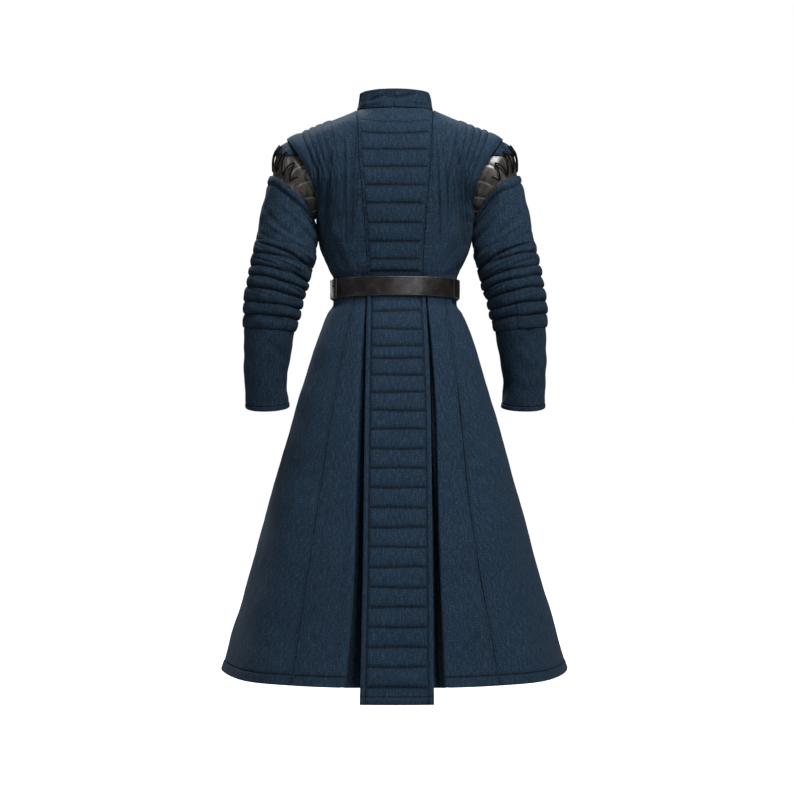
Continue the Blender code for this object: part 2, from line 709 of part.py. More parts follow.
def sleeve(side, sign):
    base = sleeve_base(sign, 0, ELBOW_FROM)
    head = lambda u, v: 0.0015 * (1 - smooth(0.08, 0.12, v))
    tube(f"sleeve_upper_{side}", base, (around(28), (0.0, 0.05, 0.1, 0.3, 0.5, 0.75, 1.0)),
         (around(28), (0.0, 0.1, 0.3, 0.65, 1.0)), BODICE_CLOTH, CLOTH, head, -sign, (False, True))

    span = RING_KNOTS[ELBOW_TO] - RING_KNOTS[ELBOW_FROM]
    lines = [(knot - RING_KNOTS[ELBOW_FROM]) / span for knot in RING_KNOTS[ELBOW_FROM:ELBOW_TO + 1]]
    rolls = lambda u, v: pillow(v, lines, ROLL_PUFF)
    rows = []
    for low, high in zip(lines, lines[1:]):
        rows += [mix(low, high, f) for f in (0.0, 0.14, 0.5, 0.86)]
    tube(f"sleeve_elbow_{side}", sleeve_base(sign, ELBOW_FROM, ELBOW_TO), (around(22), rows + [1.0]),
         (around(14), (0.0, 0.25, 0.5, 0.75, 1.0)), BODICE_CLOTH, CLOTH, rolls, -sign, (True, True))
    tube(f"sleeve_lower_{side}", sleeve_base(sign, ELBOW_TO, len(RINGS) - 1),
         (around(22), (0.0, 0.2, 0.4, 0.6, 0.8, 1.0)), (around(14), (0.0, 0.35, 0.7, 1.0)), BODICE_CLOTH,
         CLOTH, None, -sign, (True, False))


def band_base(sign):
    """Base surface of the leather band: from below the flange down into the sleeve's head."""
    in_sleeve = sleeve_base(1, 0, ELBOW_FROM)

    def tucked(turn):
        inside = normal_at(in_sleeve, turn, BAND_TUCK, -1)
        return in_sleeve(turn, BAND_TUCK) - inside * (BODICE_CLOTH + BAND_IN_SLEEVE)

    def below_head(turn):
        inside = normal_at(in_sleeve, turn, 0.0, -1)
        return in_sleeve(turn, 0.0) - inside * (BODICE_CLOTH + BAND_IN_SLEEVE)

    rings = [station_ring(BAND_TOP), station_ring(BAND_MIDDLE), below_head, tucked]

    def base(u, v):
        turn = u % 1.0
        point = through((0.0, 0.38, 0.82, 1.0), [ring(turn) for ring in rings], v)
        return Vector((sign * point.x, point.y, point.z))
    return base


def plates(u, v):
    """Each leather plate laps over the next one, up to the part that is inside the sleeve."""
    step = (u * BAND_PLATES) % 1.0
    return BAND_STEP * (1 - step) * (1 - smooth(0.6, 0.75, v))


def shoulder_band(side, sign):
    turns = []
    for i in range(BAND_PLATES):
        turns += [(i + f) / BAND_PLATES for f in (0.0, 0.5, 0.93)]
    rows = (0.0, 0.2, 0.4, 0.6, 0.8, 1.0)
    tube(f"shoulder_band_{side}", band_base(sign), (turns, rows), (around(16), rows), BAND_LEATHER, LEATHER,
         plates, -sign, (False, False))


def cap_base(sign):
    """The under-cap lies on the leather band over the top of the shoulder."""
    band = band_base(sign)

    def base(u, v):
        turn = mix(-CAP_REACH, CAP_REACH, u)
        reach = mix(CAP_LOW_V, CAP_END_V, abs(2 * u - 1) ** 1.5)
        v_band = mix(CAP_HIGH_V, reach, v)
        way = normal_at(band, turn % 1.0, v_band, -sign)
        return band(turn, v_band) + way * (BAND_STEP + CAP_CLEAR + CAP_CLOTH)
    return base


def under_cap(side, sign):
    points = (spread(0.0, 1.0, 14), spread(0.0, 1.0, 6))
    panel(f"under_cap_{side}", cap_base(sign), points, points, CAP_CLOTH, CLOTH, None, -sign,
          (False,) * 4)


def lace(side, sign):
    """One lace that goes to and fro between the cap and the leather, over the shoulder."""
    band = band_base(sign)
    points = []
    for crossing in range(-LACE_HALF_TURNS, LACE_HALF_TURNS):
        for share, v, lift in LACE_CROSSING:
            turn = (crossing + share) * LACE_STEP / 360
            points.append(band(turn, v) + normal_at(band, turn % 1.0, v, -sign) * lift)
    knots = [0.0]
    for a, b in zip(points, points[1:]):
        knots.append(knots[-1] + (b - a).length)
    data = bpy.data.curves.new(f"lace_{side}", "CURVE")
    data.dimensions = "3D"
    data.bevel_depth = LACE_RADIUS
    data.bevel_resolution = 1
    data.use_fill_caps = True
    count = len(points) - 1
    spline = data.splines.new("POLY")
    spline.points.add(count)
    for i in range(count + 1):
        point = through(knots, points, knots[i])
        spline.points[i].co = (*point, 1)
    data.materials.append(LACE)
    bpy.context.scene.collection.objects.link(bpy.data.objects.new(f"lace_{side}", data))


# Belt

def belt_point(degrees, height, off):
    """A point of the belt: degrees from the middle of the back towards +X, off its inner face."""
    turn = radians(degrees)
    half, back, front = BELT_RING
    power = 2 / ROUNDNESS
    across = abs(sin(turn)) ** power * (1 if sin(turn) >= 0 else -1)
    along = abs(cos(turn)) ** power
    y = along * (back + off) if cos(turn) > 0 else -along * (front + off)
    return Vector((across * (half + off), y, BELT_MIDDLE_Z + BELT_TILT * y + height))


def strap(name, first, last, off, count):
    def base(u, v):
        degrees = mix(first, last, u)
        height = mix(-BELT_HALF_HEIGHT, BELT_HALF_HEIGHT, v)
        return belt_point(degrees, height, off(degrees) + BELT_LEATHER)
    grid = (spread(0.0, 1.0, count), (0.0, 1.0))
    outwards = -1 if last > first else 1
    panel(name, base, grid, grid, BELT_LEATHER, LEATHER, None, outwards, (False,) * 4)


def belt():
    over = BELT_LEATHER + LAID
    strap("belt_back", -BELT_BACK_END, BELT_BACK_END, lambda d: 0.0, 26)
    step_down = lambda d: over * (1 - smooth(BELT_BACK_END + 2, BELT_BACK_END + 13, d))
    strap("belt_front_left", BELT_SIDE_END, BUCKLE_STRAP_END, step_down, 16)

    def tongue(degrees):
        """The right strap steps down to the cloth, then rises through the buckle over the left strap."""
        through_buckle = smooth(TONGUE_RISE[0], TONGUE_RISE[1], degrees)
        if degrees > TONGUE_RISE[1]:
            return step_down(360 - degrees)
        return TONGUE_OFF * (1 - through_buckle)

    strap("belt_front_right", 360 - BELT_SIDE_END, TONGUE_END, tongue, 30)
    buckle()


def rod(name, points, radius, surface, cyclic):
    data = bpy.data.curves.new(name, "CURVE")
    data.dimensions = "3D"
    data.bevel_depth = radius
    data.bevel_resolution = 1
    data.use_fill_caps = not cyclic
    spline = data.splines.new("POLY")
    spline.points.add(len(points) - 1)
    for place, point in zip(spline.points, points):
        place.co = (*point, 1)
    spline.use_cyclic_u = cyclic
    data.materials.append(surface)
    bpy.context.scene.collection.objects.link(bpy.data.objects.new(name, data))


def front_point(x, height, off):
    """A point of the belt's front at x."""
    turn = np.degrees(asin(abs(x / (BELT_RING[0] + off)) ** (ROUNDNESS / 2)))
    return belt_point(180 - turn if x > 0 else 180 + turn, height, off)


def buckle():
    low, high = BUCKLE_ROD + 0.0003, BELT_LEATHER + LAID + BUCKLE_ROD
    left, right = BUCKLE_X + BUCKLE_HALF_WIDTH, BUCKLE_X - BUCKLE_HALF_WIDTH
    tall, corner = BUCKLE_HALF_HEIGHT, 0.006
    outline = [
        (left, -tall + corner, low), (left, tall - corner, low), (left - corner, tall, low),
        (right + corner, tall, high), (right, tall - corner, high), (right, -tall + corner, high),
        (right + corner, -tall, high), (left - corner, -tall, low),
    ]
    rod("buckle_frame", [front_point(*p) for p in outline], BUCKLE_ROD, METAL, True)
    on_tongue = TONGUE_OFF + BELT_LEATHER + LAID + PRONG_RADIUS
    on_bar = high + BUCKLE_ROD + LAID + PRONG_RADIUS
    start, end = BUCKLE_X + 0.012, right - 0.004
    prong = [(start, 0.0, on_tongue), (mix(start, end, 0.5), 0.0, max(on_tongue, on_bar) + 0.001),
             (right, 0.0, on_bar), (end, 0.0, on_bar)]
    rod("buckle_prong", [front_point(*p) for p in prong], PRONG_RADIUS, METAL, False)
    keeper_off = TONGUE_OFF + BELT_LEATHER + LAID
    points = []
    for x in (KEEPER_X - 0.007, KEEPER_X + 0.007):
        tall = BELT_HALF_HEIGHT + LAID
        profile = [(-tall, 0.0), (-tall, keeper_off), (tall, keeper_off), (tall, 0.0),
                   (tall + KEEPER_WALL, 0.0), (tall + KEEPER_WALL, keeper_off + KEEPER_WALL),
                   (-tall - KEEPER_WALL, keeper_off + KEEPER_WALL), (-tall - KEEPER_WALL, 0.0)]
        points += [front_point(x, height, off) for height, off in profile]
    faces = [(i, (i + 1) % 8, 8 + (i + 1) % 8, 8 + i) for i in range(8)]
    for ring in (0, 8):
        faces += [(ring, ring + 1, ring + 6, ring + 7), (ring + 1, ring + 2, ring + 5, ring + 6),
                  (ring + 2, ring + 3, ring + 4, ring + 5)]
    finish("belt_keeper", points, faces, LEATHER)


# Skirt

def skirt_point(degrees, z):
    """A point of the skirt's base surface: degrees from the middle of the back towards +X."""
    turn = radians(degrees)
    half = curve(SKIRT_LEVELS, 1, z)
    back, front = curve(SKIRT_LEVELS, 2, z), curve(SKIRT_LEVELS, 3, z)
    power = 2 / ROUNDNESS
    down = min(max((WAIST_Z - z - 0.05) / (WAIST_Z - HEM_Z - 0.05), 0.0), 1.0)
    flute = sum(h * max(0.0, 1 - ((abs(degrees) - at) / wide) ** 2) ** 2 for at, wide, h in FLUTES)
    flute *= down ** 1.3
    across = abs(sin(turn)) ** power * (1 if sin(turn) >= 0 else -1)
    along = abs(cos(turn)) ** power * (1 if cos(turn) >= 0 else -1)
    return Vector((across * (half + flute), along * ((back if along > 0 else front) + flute), z))


def degrees_at(x, z):
    """Angle of the back of the skirt at x."""
    half = curve(SKIRT_LEVELS, 1, z)
    turn = np.degrees(asin(min(abs(x) / half, 1.0) ** (ROUNDNESS / 2)))
    return turn if x >= 0 else -turn


def skirt_z(v):
    return mix(WAIST_Z, HEM_Z, v)


def skirt_row(z):
    return (z - WAIST_Z) / (HEM_Z - WAIST_Z)


SKIRT_ROWS = [skirt_row(z) for z in (WAIST_Z, -0.457, -0.480, -0.515, -0.56, -0.63, -0.72, -0.84, -0.96,
                                     -1.09, -1.21, HEM_Z)]


def gore_base(sign, low, high):
    """A gore between two seams, each a function of z that gives degrees."""
    def base(u, v):
        z = skirt_z(v)
        return skirt_point(sign * mix(low(z), high(z), u), z)
    return base


def back_seam(side):
    return lambda z: abs(degrees_at(curve(GORE_SEAMS, 1 if side == "left" else 2, z), z))


def front_seam(z):
    return curve(GORE_SEAMS, 3, z)


def back_gore(side, sign):
    """The gore beside the tail, with the fold that goes in behind it."""
    column = 1 if side == "left" else 2
    fold = lambda z: abs(degrees_at(curve(PLEATS, column, z), z))
    base = gore_base(sign, fold, back_seam(side))
    us = spread(0.0, 1.0, 6)
    outer = sheet(base, us, SKIRT_ROWS, sign, lambda u, v: 0.0, (False, True, True, False))
    inner = sheet(base, us, SKIRT_ROWS, sign, lambda u, v: -SKIRT_CLOTH, (False, True, True, False))
    for v, out_row, in_row in zip(SKIRT_ROWS, outer, inner):
        edge = out_row[0].copy()
        depth = curve(PLEATS, 3, skirt_z(v))
        in_row[0] = edge + Vector((sign * SKIRT_CLOTH, -SKIRT_CLOTH, 0))
        if (in_row[1].x - in_row[0].x) * sign < 0.002:
            in_row[0].x = in_row[1].x - sign * 0.002
        out_row.insert(0, edge + Vector((0, -depth, 0)))
        in_row.insert(0, Vector((in_row[0].x, edge.y - depth, in_row[0].z)))
    columns = [-0.2] + us
    wall(f"skirt_back_{side}", outer, inner, (columns, SKIRT_ROWS), (columns, SKIRT_ROWS), CLOTH)


def gore(name, base, outwards, count, back_off, rows=SKIRT_ROWS):
    us = spread(0.0, 1.0, count)
    panel(name, base, (us, rows), (us, rows), SKIRT_CLOTH, CLOTH, None, outwards, back_off)


def front_gore(side, sign, lies_over):
    def base(u, v):
        z = skirt_z(v)
        turns = [front_seam(z)]
        turns += [180 - degrees_at(x, z) for x in (OVERLAP_STEP, OVERLAP_HALF + 0.002, -OVERLAP_HALF)]
        return skirt_point(sign * np.interp(u, (0.0, 0.6, 0.72, 1.0), turns), z)

    step = lambda u, v: (SKIRT_CLOTH + OVERLAP_CLEAR) * over_the_other(sign * base(u, v).x)
    us = (0.0, 0.15, 0.3, 0.45, 0.6, 0.72, 0.86, 1.0)
    panel(f"skirt_front_{side}", lifted(base, sign, step) if lies_over else base, (us, SKIRT_ROWS),
          (us, SKIRT_ROWS), SKIRT_CLOTH, CLOTH, None, sign, (True, False, True, False))


def pleat_underlay():
    def base(u, v):
        z = skirt_z(v)
        ends = []
        for column, sign in ((2, -1), (1, 1)):
            x = sign * curve(PLEATS, column, z)
            edge = skirt_point(degrees_at(x, z), z)
            ends.append(Vector((x + sign * SKIRT_CLOTH, edge.y - curve(PLEATS, 3, z) - LAID, z)))
        return ends[0].lerp(ends[1], u)
    gore("pleat_underlay", base, 1, 3, (False, False, True, False))


# Tail

def tail_z(v):
    return mix(WAIST_Z, TAIL_END_Z, v)


def tail_base(u, v):
    z = tail_z(v)
    x = mix(curve(TAIL_EDGES, 2, z), curve(TAIL_EDGES, 1, z), u)
    return skirt_point(degrees_at(x, z), z)


def tail():
    row = lambda z: (z - WAIST_Z) / (TAIL_END_Z - WAIST_Z)
    lines = [row(TAIL_FIRST_LINE_Z + 0.0235), row(TAIL_FIRST_LINE_Z)]
    z = TAIL_FIRST_LINE_Z
    for height in TAIL_ROLLS_MM:
        z -= height / 1000
        lines.append(row(z))
    rows = [0.0] + quilted_rows(lines, [1.0])
    us = (0.0, 0.06, 0.12, 0.5, 0.88, 0.94, 1.0)
    inside = spread(0.0, 1.0, 16)
    inside[1:1] = [row(-0.457)]
    puffs = lambda u, v: pillow(v, lines, TAIL_PUFF) * margins(u, 0.055, 0.12)
    panel("tail", tail_base, (us, rows), ((0.0, 0.5, 1.0), inside), BODICE_CLOTH, CLOTH, puffs, 1,
          (False, False, True, False))


for side, sign in (("left", 1), ("right", -1)):
    side_back(f"back_side_{side}", sign)
    front_panel(f"front_{side}", sign, side == "right")
    shoulder_band(side, sign)
    under_cap(side, sign)
    lace(side, sign)
    sleeve(side, sign)
    back_gore(side, sign)
    gore(f"skirt_side_{side}", gore_base(sign, back_seam(side), front_seam), sign, 10,
         (True, True, True, False))
    front_gore(side, sign, side == "right")
back_centre()
collar()
belt()
pleat_underlay()
tail()
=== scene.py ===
# %% [markdown]
# # A long quilted coat, seen from behind
# This lesson dresses a long winter coat: padded navy wool, quilted across the back, rolled at the
# elbows, laced to leather at the shoulders, belted, and flared to the hem. The solids are loaded
# first as a fixed frame. Every cloth piece is then made again from the same sizes, much finer, with
# the stitches, puckers and creases that only the finished coat has.

# %% Load the frame
from math import cos, pi, sin

import bmesh
import bpy
import numpy as np
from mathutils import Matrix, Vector


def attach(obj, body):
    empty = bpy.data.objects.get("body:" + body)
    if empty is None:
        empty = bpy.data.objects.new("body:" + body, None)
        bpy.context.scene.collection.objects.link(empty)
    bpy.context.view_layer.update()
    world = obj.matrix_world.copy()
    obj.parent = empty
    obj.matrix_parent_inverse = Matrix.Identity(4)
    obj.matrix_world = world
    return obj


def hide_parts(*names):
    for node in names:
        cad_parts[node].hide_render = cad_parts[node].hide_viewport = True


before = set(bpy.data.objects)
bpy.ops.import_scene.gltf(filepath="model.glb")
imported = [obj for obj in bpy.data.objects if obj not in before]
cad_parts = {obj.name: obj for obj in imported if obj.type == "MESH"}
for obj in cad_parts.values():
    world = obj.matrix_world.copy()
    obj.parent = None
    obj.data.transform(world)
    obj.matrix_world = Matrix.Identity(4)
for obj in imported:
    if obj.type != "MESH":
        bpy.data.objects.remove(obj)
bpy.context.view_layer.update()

# %% [markdown]
# ## Camera
# The photograph is taken level with the coat's middle from about five metres behind it, with a long
# lens, so the coat is hardly distorted. At that distance 420 pixels of a 794 pixel picture are a metre.

# %% Camera
CAMERA_AWAY = 5.0          # metres behind the coat's middle
CAMERA_X, CAMERA_Z = -0.0048, -0.6786
PIXELS_PER_METRE = 420
PICTURE = 794              # pixels
SENSOR_MM = 36.0

lens = bpy.data.cameras.new("camera")
lens.sensor_width = SENSOR_MM
lens.lens = SENSOR_MM * PIXELS_PER_METRE * CAMERA_AWAY / PICTURE
camera = bpy.data.objects.new("camera", lens)
camera.location = (CAMERA_X, CAMERA_AWAY, CAMERA_Z)
camera.rotation_euler = (pi / 2, 0, pi)
bpy.context.scene.collection.objects.link(camera)
bpy.context.scene.camera = camera
print("lens:", round(lens.lens, 1), "mm")

# %% [markdown]
# ## Colours and nodes
# Colours are picked on a screen as sRGB hex values, but the renderer adds up light, which is linear.
# One function turns the first into the second. One more adds a node, sets it and links it.

# %% Colour and node helpers
def colour(hex_value):
    """A screen colour such as "#233242" as linear light with alpha."""
    parts = [int(hex_value[i:i + 2], 16) / 255 for i in (1, 3, 5)]
    return [p / 12.92 if p <= 0.04045 else ((p + 0.055) / 1.055) ** 2.4 for p in parts] + [1.0]


def fill_in(node, values):
    """Gives sockets of a node their values."""
    for socket, value in values.items():
        node.inputs[socket].default_value = value


def add(tree, kind, put=(), take=(), **settings):
    """A node of this kind: settings on the node, put gives its sockets values and take links them."""
    made = tree.nodes.new(kind)
    for name, value in settings.items():
        setattr(made, name, value)
    fill_in(made, dict(put))
    for socket, source in dict(take).items():
        if isinstance(source, bpy.types.Node):
            source = source.outputs[0]
        tree.links.new(source, made.inputs[socket])
    return made


def ranged(tree, source, low=0.0, high=1.0, to_low=0.0, to_high=1.0):
    """A value between low and high as one between to_low and to_high."""
    return add(tree, "ShaderNodeMapRange", take={"Value": source},
               put={"From Min": low, "From Max": high, "To Min": to_low, "To Max": to_high})


def noise(tree, where, scale, detail, **more):
    """A noise of this many waves per unit of the coordinates."""
    put = {"Scale": scale, "Detail": detail, **more}
    return add(tree, "ShaderNodeTexNoise", take={"Vector": where}, put=put)


def blended(tree, share, first, second):
    """Two screen colours mixed by a value."""
    put = {6: colour(first), 7: colour(second)}
    return add(tree, "ShaderNodeMix", data_type="RGBA", take={0: share}, put=put)


def scaled_by(tree, vector, by):
    return add(tree, "ShaderNodeVectorMath", take={0: vector, "Scale": by}, operation="SCALE")


def combined(tree, operation, first, second, **settings):
    return add(tree, "ShaderNodeMath", take={0: first, 1: second}, operation=operation, **settings)


def bumped(tree, shader, height, strength, distance):
    """Lets a height bend the light on a surface."""
    put = {"Strength": strength, "Distance": distance}
    bump = add(tree, "ShaderNodeBump", take={"Height": height}, put=put)
    tree.links.new(bump.outputs[0], shader.inputs["Normal"])


def placed(name, data):
    """A new object of this data in the scene."""
    made = bpy.data.objects.new(name, data)
    bpy.context.scene.collection.objects.link(made)
    return made


def new_material(name):
    """An empty material with its shader, and the node tree and shader to build on."""
    made = bpy.data.materials.new(name)
    made.use_nodes = True
    return made, made.node_tree, made.node_tree.nodes["Principled BSDF"]


# %% [markdown]
# ## Woven wool
# The shell is a dense plain weave of navy wool, with slightly uneven yarns and a few paler fibres.
# Real yarns are about 1.3 mm apart, finer than a pixel here, so the weave is drawn at twice that.
# Every cloth piece has a UV map in metres along the cloth, and a painted_shade attribute from 0 to 1
# that darkens its colour: painted shade in stitched grooves, seams, creases and folds, where shade gathers.

# %% Wool material
YARN_SPACING = 0.0026      # metres, twice the real 1.3 mm, so that it shows at all
WARP_RUN = 0.022           # an upright yarn keeps its thickness and tone for about this long
WEFT_RUN = 0.007
FLECK_SIZE = 0.0024


def wool(name, dark, mid, pale):
    made, tree, shader = new_material(name)
    cloth = add(tree, "ShaderNodeUVMap", uv_map="cloth")
    place = add(tree, "ShaderNodeTexCoord").outputs["Object"]
    yarns = []
    for scale in ((1 / YARN_SPACING, 1 / WARP_RUN, 1.0), (1 / WEFT_RUN, 1 / YARN_SPACING, 1.0)):
        along = add(tree, "ShaderNodeMapping", take={"Vector": cloth}, put={"Scale": scale})
        yarns.append(noise(tree, along, 1.0, 1.0).outputs["Fac"])
    weave = combined(tree, "MULTIPLY", *yarns)
    flecks = noise(tree, cloth, 1 / FLECK_SIZE, 3.0, Roughness=0.7).outputs["Fac"]
    clouds = noise(tree, place, 9.0, 3.0).outputs["Fac"]
    body = blended(tree, ranged(tree, flecks, 0.34, 0.66), dark, mid)
    flecked = add(tree, "ShaderNodeMix", data_type="RGBA", put={7: colour(pale)},
                  take={0: ranged(tree, weave, 0.20, 0.36), 6: body.outputs[2]})
    # painted shade: this attribute darkens the wool's colour in grooves, creases and hollows
    painted_shade = add(tree, "ShaderNodeAttribute", attribute_name="painted_shade").outputs["Fac"]
    cloudy, shade = ranged(tree, clouds, 0.3, 0.7, 0.93, 1.07), ranged(tree, painted_shade, to_low=1.0, to_high=0.22)
    both = combined(tree, "MULTIPLY", cloudy, shade)
    tree.links.new(scaled_by(tree, flecked.outputs[2], both).outputs[0], shader.inputs["Base Color"])
    bumped(tree, shader, combined(tree, "ADD", weave, flecks), 0.55, 0.0010)
    # wool scatters light in its loose fibres: rough, with a faint halo where it turns away
    fill_in(shader, {"Roughness": 0.94, "IOR": 1.46, "Specular IOR Level": 0.15, "Sheen Weight": 0.05,
                     "Sheen Roughness": 0.5, "Sheen Tint": colour("#7d92aa")})
    return made


WOOL = wool("navy_plain_weave_wool", "#141f2c", "#172735", "#203446")
# the inner face: a darker copy of the same wool, painted shade for the inside of the coat
WOOL_INSIDE_PAINTED_SHADE = wool("navy_plain_weave_wool_inside_painted_shade", "#0e1620", "#111c28", "#172533")
print("wool weave drawn at", YARN_SPACING * 1000, "mm")

# %% [markdown]
# ## Leather, lace, thread and steel
# The belt and the shoulder plates are vegetable-tanned leather, dyed nearly black and waxed: brown
# where the wax is rubbed off the edges, with a fine grain of about 1.5 mm and a soft broad shine. The
# plates are painted much paler than the belt, most of all at their edges and in patches: painted
# highlight as well as rubbed wear. The lace is waxed cord, the thread is a thick matt one, and the
# buckle is darkened steel.

# %% Leather, lace, thread and steel materials
LEATHER_GRAIN = 0.0015


def waxed_leather(name, dark, paler_tone, roughness):
    made, tree, shader = new_material(name)
    place = add(tree, "ShaderNodeTexCoord").outputs["Object"]
    grain = add(tree, "ShaderNodeTexVoronoi", take={"Vector": place}, put={"Scale": 1 / LEATHER_GRAIN},
                feature="SMOOTH_F1")
    mottle = noise(tree, place, 38.0, 5.0, Roughness=0.65).outputs["Fac"]
    scuffs = noise(tree, place, 190.0, 3.0, Roughness=0.7).outputs["Fac"]
    # paler edges and patches: rubbed wear, and on the shoulder plates painted highlight as well
    rubbed_edge_and_highlight = add(tree, "ShaderNodeAttribute", attribute_name="edge").outputs["Fac"]
    edge_wear_and_highlight = combined(tree, "MULTIPLY", rubbed_edge_and_highlight, scuffs)
    wear_and_highlight = combined(tree, "ADD", ranged(tree, mottle, 0.45, 0.75, 0.0, 0.22), edge_wear_and_highlight, use_clamp=True)
    tone = blended(tree, wear_and_highlight, dark, paler_tone)
    # painted shade: this attribute darkens the leather at the plates' laps, in the pressed lines and in the
    # holes
    painted_leather_shade = add(tree, "ShaderNodeAttribute", attribute_name="painted_shade").outputs["Fac"]
    shaded = scaled_by(tree, tone.outputs[2], ranged(tree, painted_leather_shade, to_low=1.0, to_high=0.08))
    tree.links.new(shaded.outputs[0], shader.inputs["Base Color"])
    gloss = ranged(tree, mottle, 0.3, 0.7, roughness - 0.06, roughness + 0.1)
    tree.links.new(gloss.outputs[0], shader.inputs["Roughness"])
    bumped(tree, shader, combined(tree, "ADD", grain.outputs["Distance"], scuffs), 0.28, 0.0005)
    # leather's IOR is near 1.5, and the wax lies on it as a thin clear coat
    fill_in(shader, {"IOR": 1.5, "Coat Weight": 0.18, "Coat Roughness": 0.38})
    return made


def plain_thread(name, low, high, size, roughness, shine):
    made, tree, shader = new_material(name)
    twist = noise(tree, add(tree, "ShaderNodeTexCoord").outputs["Object"], 1 / size, 2.0).outputs["Fac"]
    tree.links.new(blended(tree, twist, low, high).outputs[2], shader.inputs["Base Color"])
    bumped(tree, shader, twist, 0.5, size / 3)
    fill_in(shader, {"Roughness": roughness, "IOR": 1.5, "Specular IOR Level": shine})
    return made


def darkened_steel(name):
    made, tree, shader = new_material(name)
    place = add(tree, "ShaderNodeTexCoord").outputs["Object"]
    rub = noise(tree, place, 260.0, 4.0, Roughness=0.6).outputs["Fac"]
    tree.links.new(blended(tree, rub, "#57534e", "#8d8881").outputs[2], shader.inputs["Base Color"])
    tree.links.new(ranged(tree, rub, to_low=0.26, to_high=0.5).outputs[0], shader.inputs["Roughness"])
    fill_in(shader, {"Metallic": 1.0})
    return made


BELT_LEATHER = waxed_leather("waxed_black_brown_leather", "#110e0d", "#3a342f", 0.34)
# the plates' colours are much paler than the belt's: painted highlight as well as rubbed wear
PLATE_LEATHER = waxed_leather("waxed_plate_leather", "#2b2725", "#8f857c", 0.34)
LACE = plain_thread("waxed_black_lace", "#010101", "#050505", 0.0008, 0.8, 0.1)
THREAD = plain_thread("navy_thread", "#0b121a", "#16212e", 0.0006, 0.8, 0.3)
STEEL = darkened_steel("darkened_steel")
print("materials:", [m.name for m in bpy.data.materials])

# %% [markdown]
# ## Sizes of the coat
# The same tables that gave the solids: heights are z in metres below the middle of the neck opening,
# the coat faces -Y, and its left side is +X. A smooth line through each column gives every size in
# between. Here the line is worked out for whole grids of points at once.

# %% Tables
SIDES = (("left", 1), ("right", -1))    # which side of the coat, and the sign of its x
SEAM = 0.00016             # each of two neighbours is drawn back by this much, in metres
LAID = 0.0004              # gap between two things that lie on each other
SEAM_AT_NECK = 0.0004
BODICE_CLOTH = 0.0045
SKIRT_CLOTH = 0.0035
COLLAR_CLOTH = 0.0045
CAP_CLOTH = 0.0025
BAND_LEATHER = 0.0024
BELT_LEATHER_THICK = 0.0035
WAIST_Z = -0.4256
UNDERARM_Z = -0.262
BLADE_Z = -0.120
HEM_Z = -1.325
TAIL_END_Z = -1.3604
NECK_HALF = 0.092
NECK_BACK = 0.062
NECK_FRONT = 0.060
RIDGE_AT_MIDDLE = 0.040
RIDGE_SLOPE = 0.414
ROUNDNESS = 2.3

# z, half width, depth behind, depth in front, x of the armhole or side seam
BODICE_LEVELS = (
    (WAIST_Z, 0.1468, 0.0985, 0.1015, 0.1468),
    (-0.397, 0.1468, 0.0985, 0.1015, 0.1468),
    (-0.383, 0.1520, 0.1035, 0.111, 0.1520),
    (-0.343, 0.1645, 0.1080, 0.116, 0.1645),
    (-0.300, 0.1755, 0.1150, 0.121, 0.1755),
    (UNDERARM_Z, 0.1810, 0.1210, 0.125, 0.1810),
    (-0.235, 0.1900, 0.1240, 0.127, 0.1820),
    (-0.200, 0.2180, 0.1260, 0.128, 0.1880),
    (-0.160, 0.2680, 0.1260, 0.126, 0.2010),
    (BLADE_Z, 0.2940, 0.1230, 0.119, 0.2225),
)
FLANGE_EDGE = ((0.0, 0.2225), (0.30, 0.2400), (0.65, 0.2530), (1.0, 0.2575))
BACK_SEAM = ((WAIST_Z, 0.0650), (-0.343, 0.0665), (UNDERARM_Z, 0.0715), (BLADE_Z, 0.0840))
BACK_LINES = (-0.0356, -0.0650, -0.1036, -0.1430, -0.1860, -0.2280, -0.2733, -0.3167, -0.3573, -0.3838)
BACK_PUFF = 0.0035
# share of the way from the seam to the armhole, at the ridge and at the chest, and the channel's height
CHANNELS = (
    (0.30, 0.36, 0.0015),
    (0.42, 0.50, 0.0030),
    (0.52, 0.62, 0.0040),
    (0.61, 0.74, 0.0045),
    (0.71, 0.86, 0.0050),
    (1.00, 1.00, 0.0045),
)
CHANNELS_END_Z = -0.262
FRONT_SHARE = 0.45
OVERLAP_HALF = 0.028       # each front reaches this far past the middle
OVERLAP_STEP = 0.045       # from here to OVERLAP_IN the upper front steps up over the lower one
OVERLAP_IN = OVERLAP_HALF + 0.002
OVERLAP_CLEAR = 0.0016
LOW_SHARE = 0.62
# half rings of the armhole and the sleeve's head, then whole sleeve rings
FRONT_OF_ARM = 0.92
BAND_TOP = ((0.2320, 0.000, -0.0657), (0.2240, 0.056, -0.0904), (0.1960, 0.0800, -0.1500),
            (0.1740, 0.042, -0.2120), (0.1700, 0.0, -0.2420))
BAND_MIDDLE = ((0.2745, 0.000, -0.0905), (0.2570, 0.060, -0.1080), (0.2230, 0.0815, -0.1570),
               (0.1920, 0.046, -0.2130), (0.1820, 0.0, -0.2490))
SLEEVE_HEAD = ((0.2970, 0.000, -0.1525), (0.2790, 0.058, -0.1600), (0.2430, 0.0830, -0.1810),
               (0.2095, 0.054, -0.2190), (0.1895, 0.0, -0.2600))
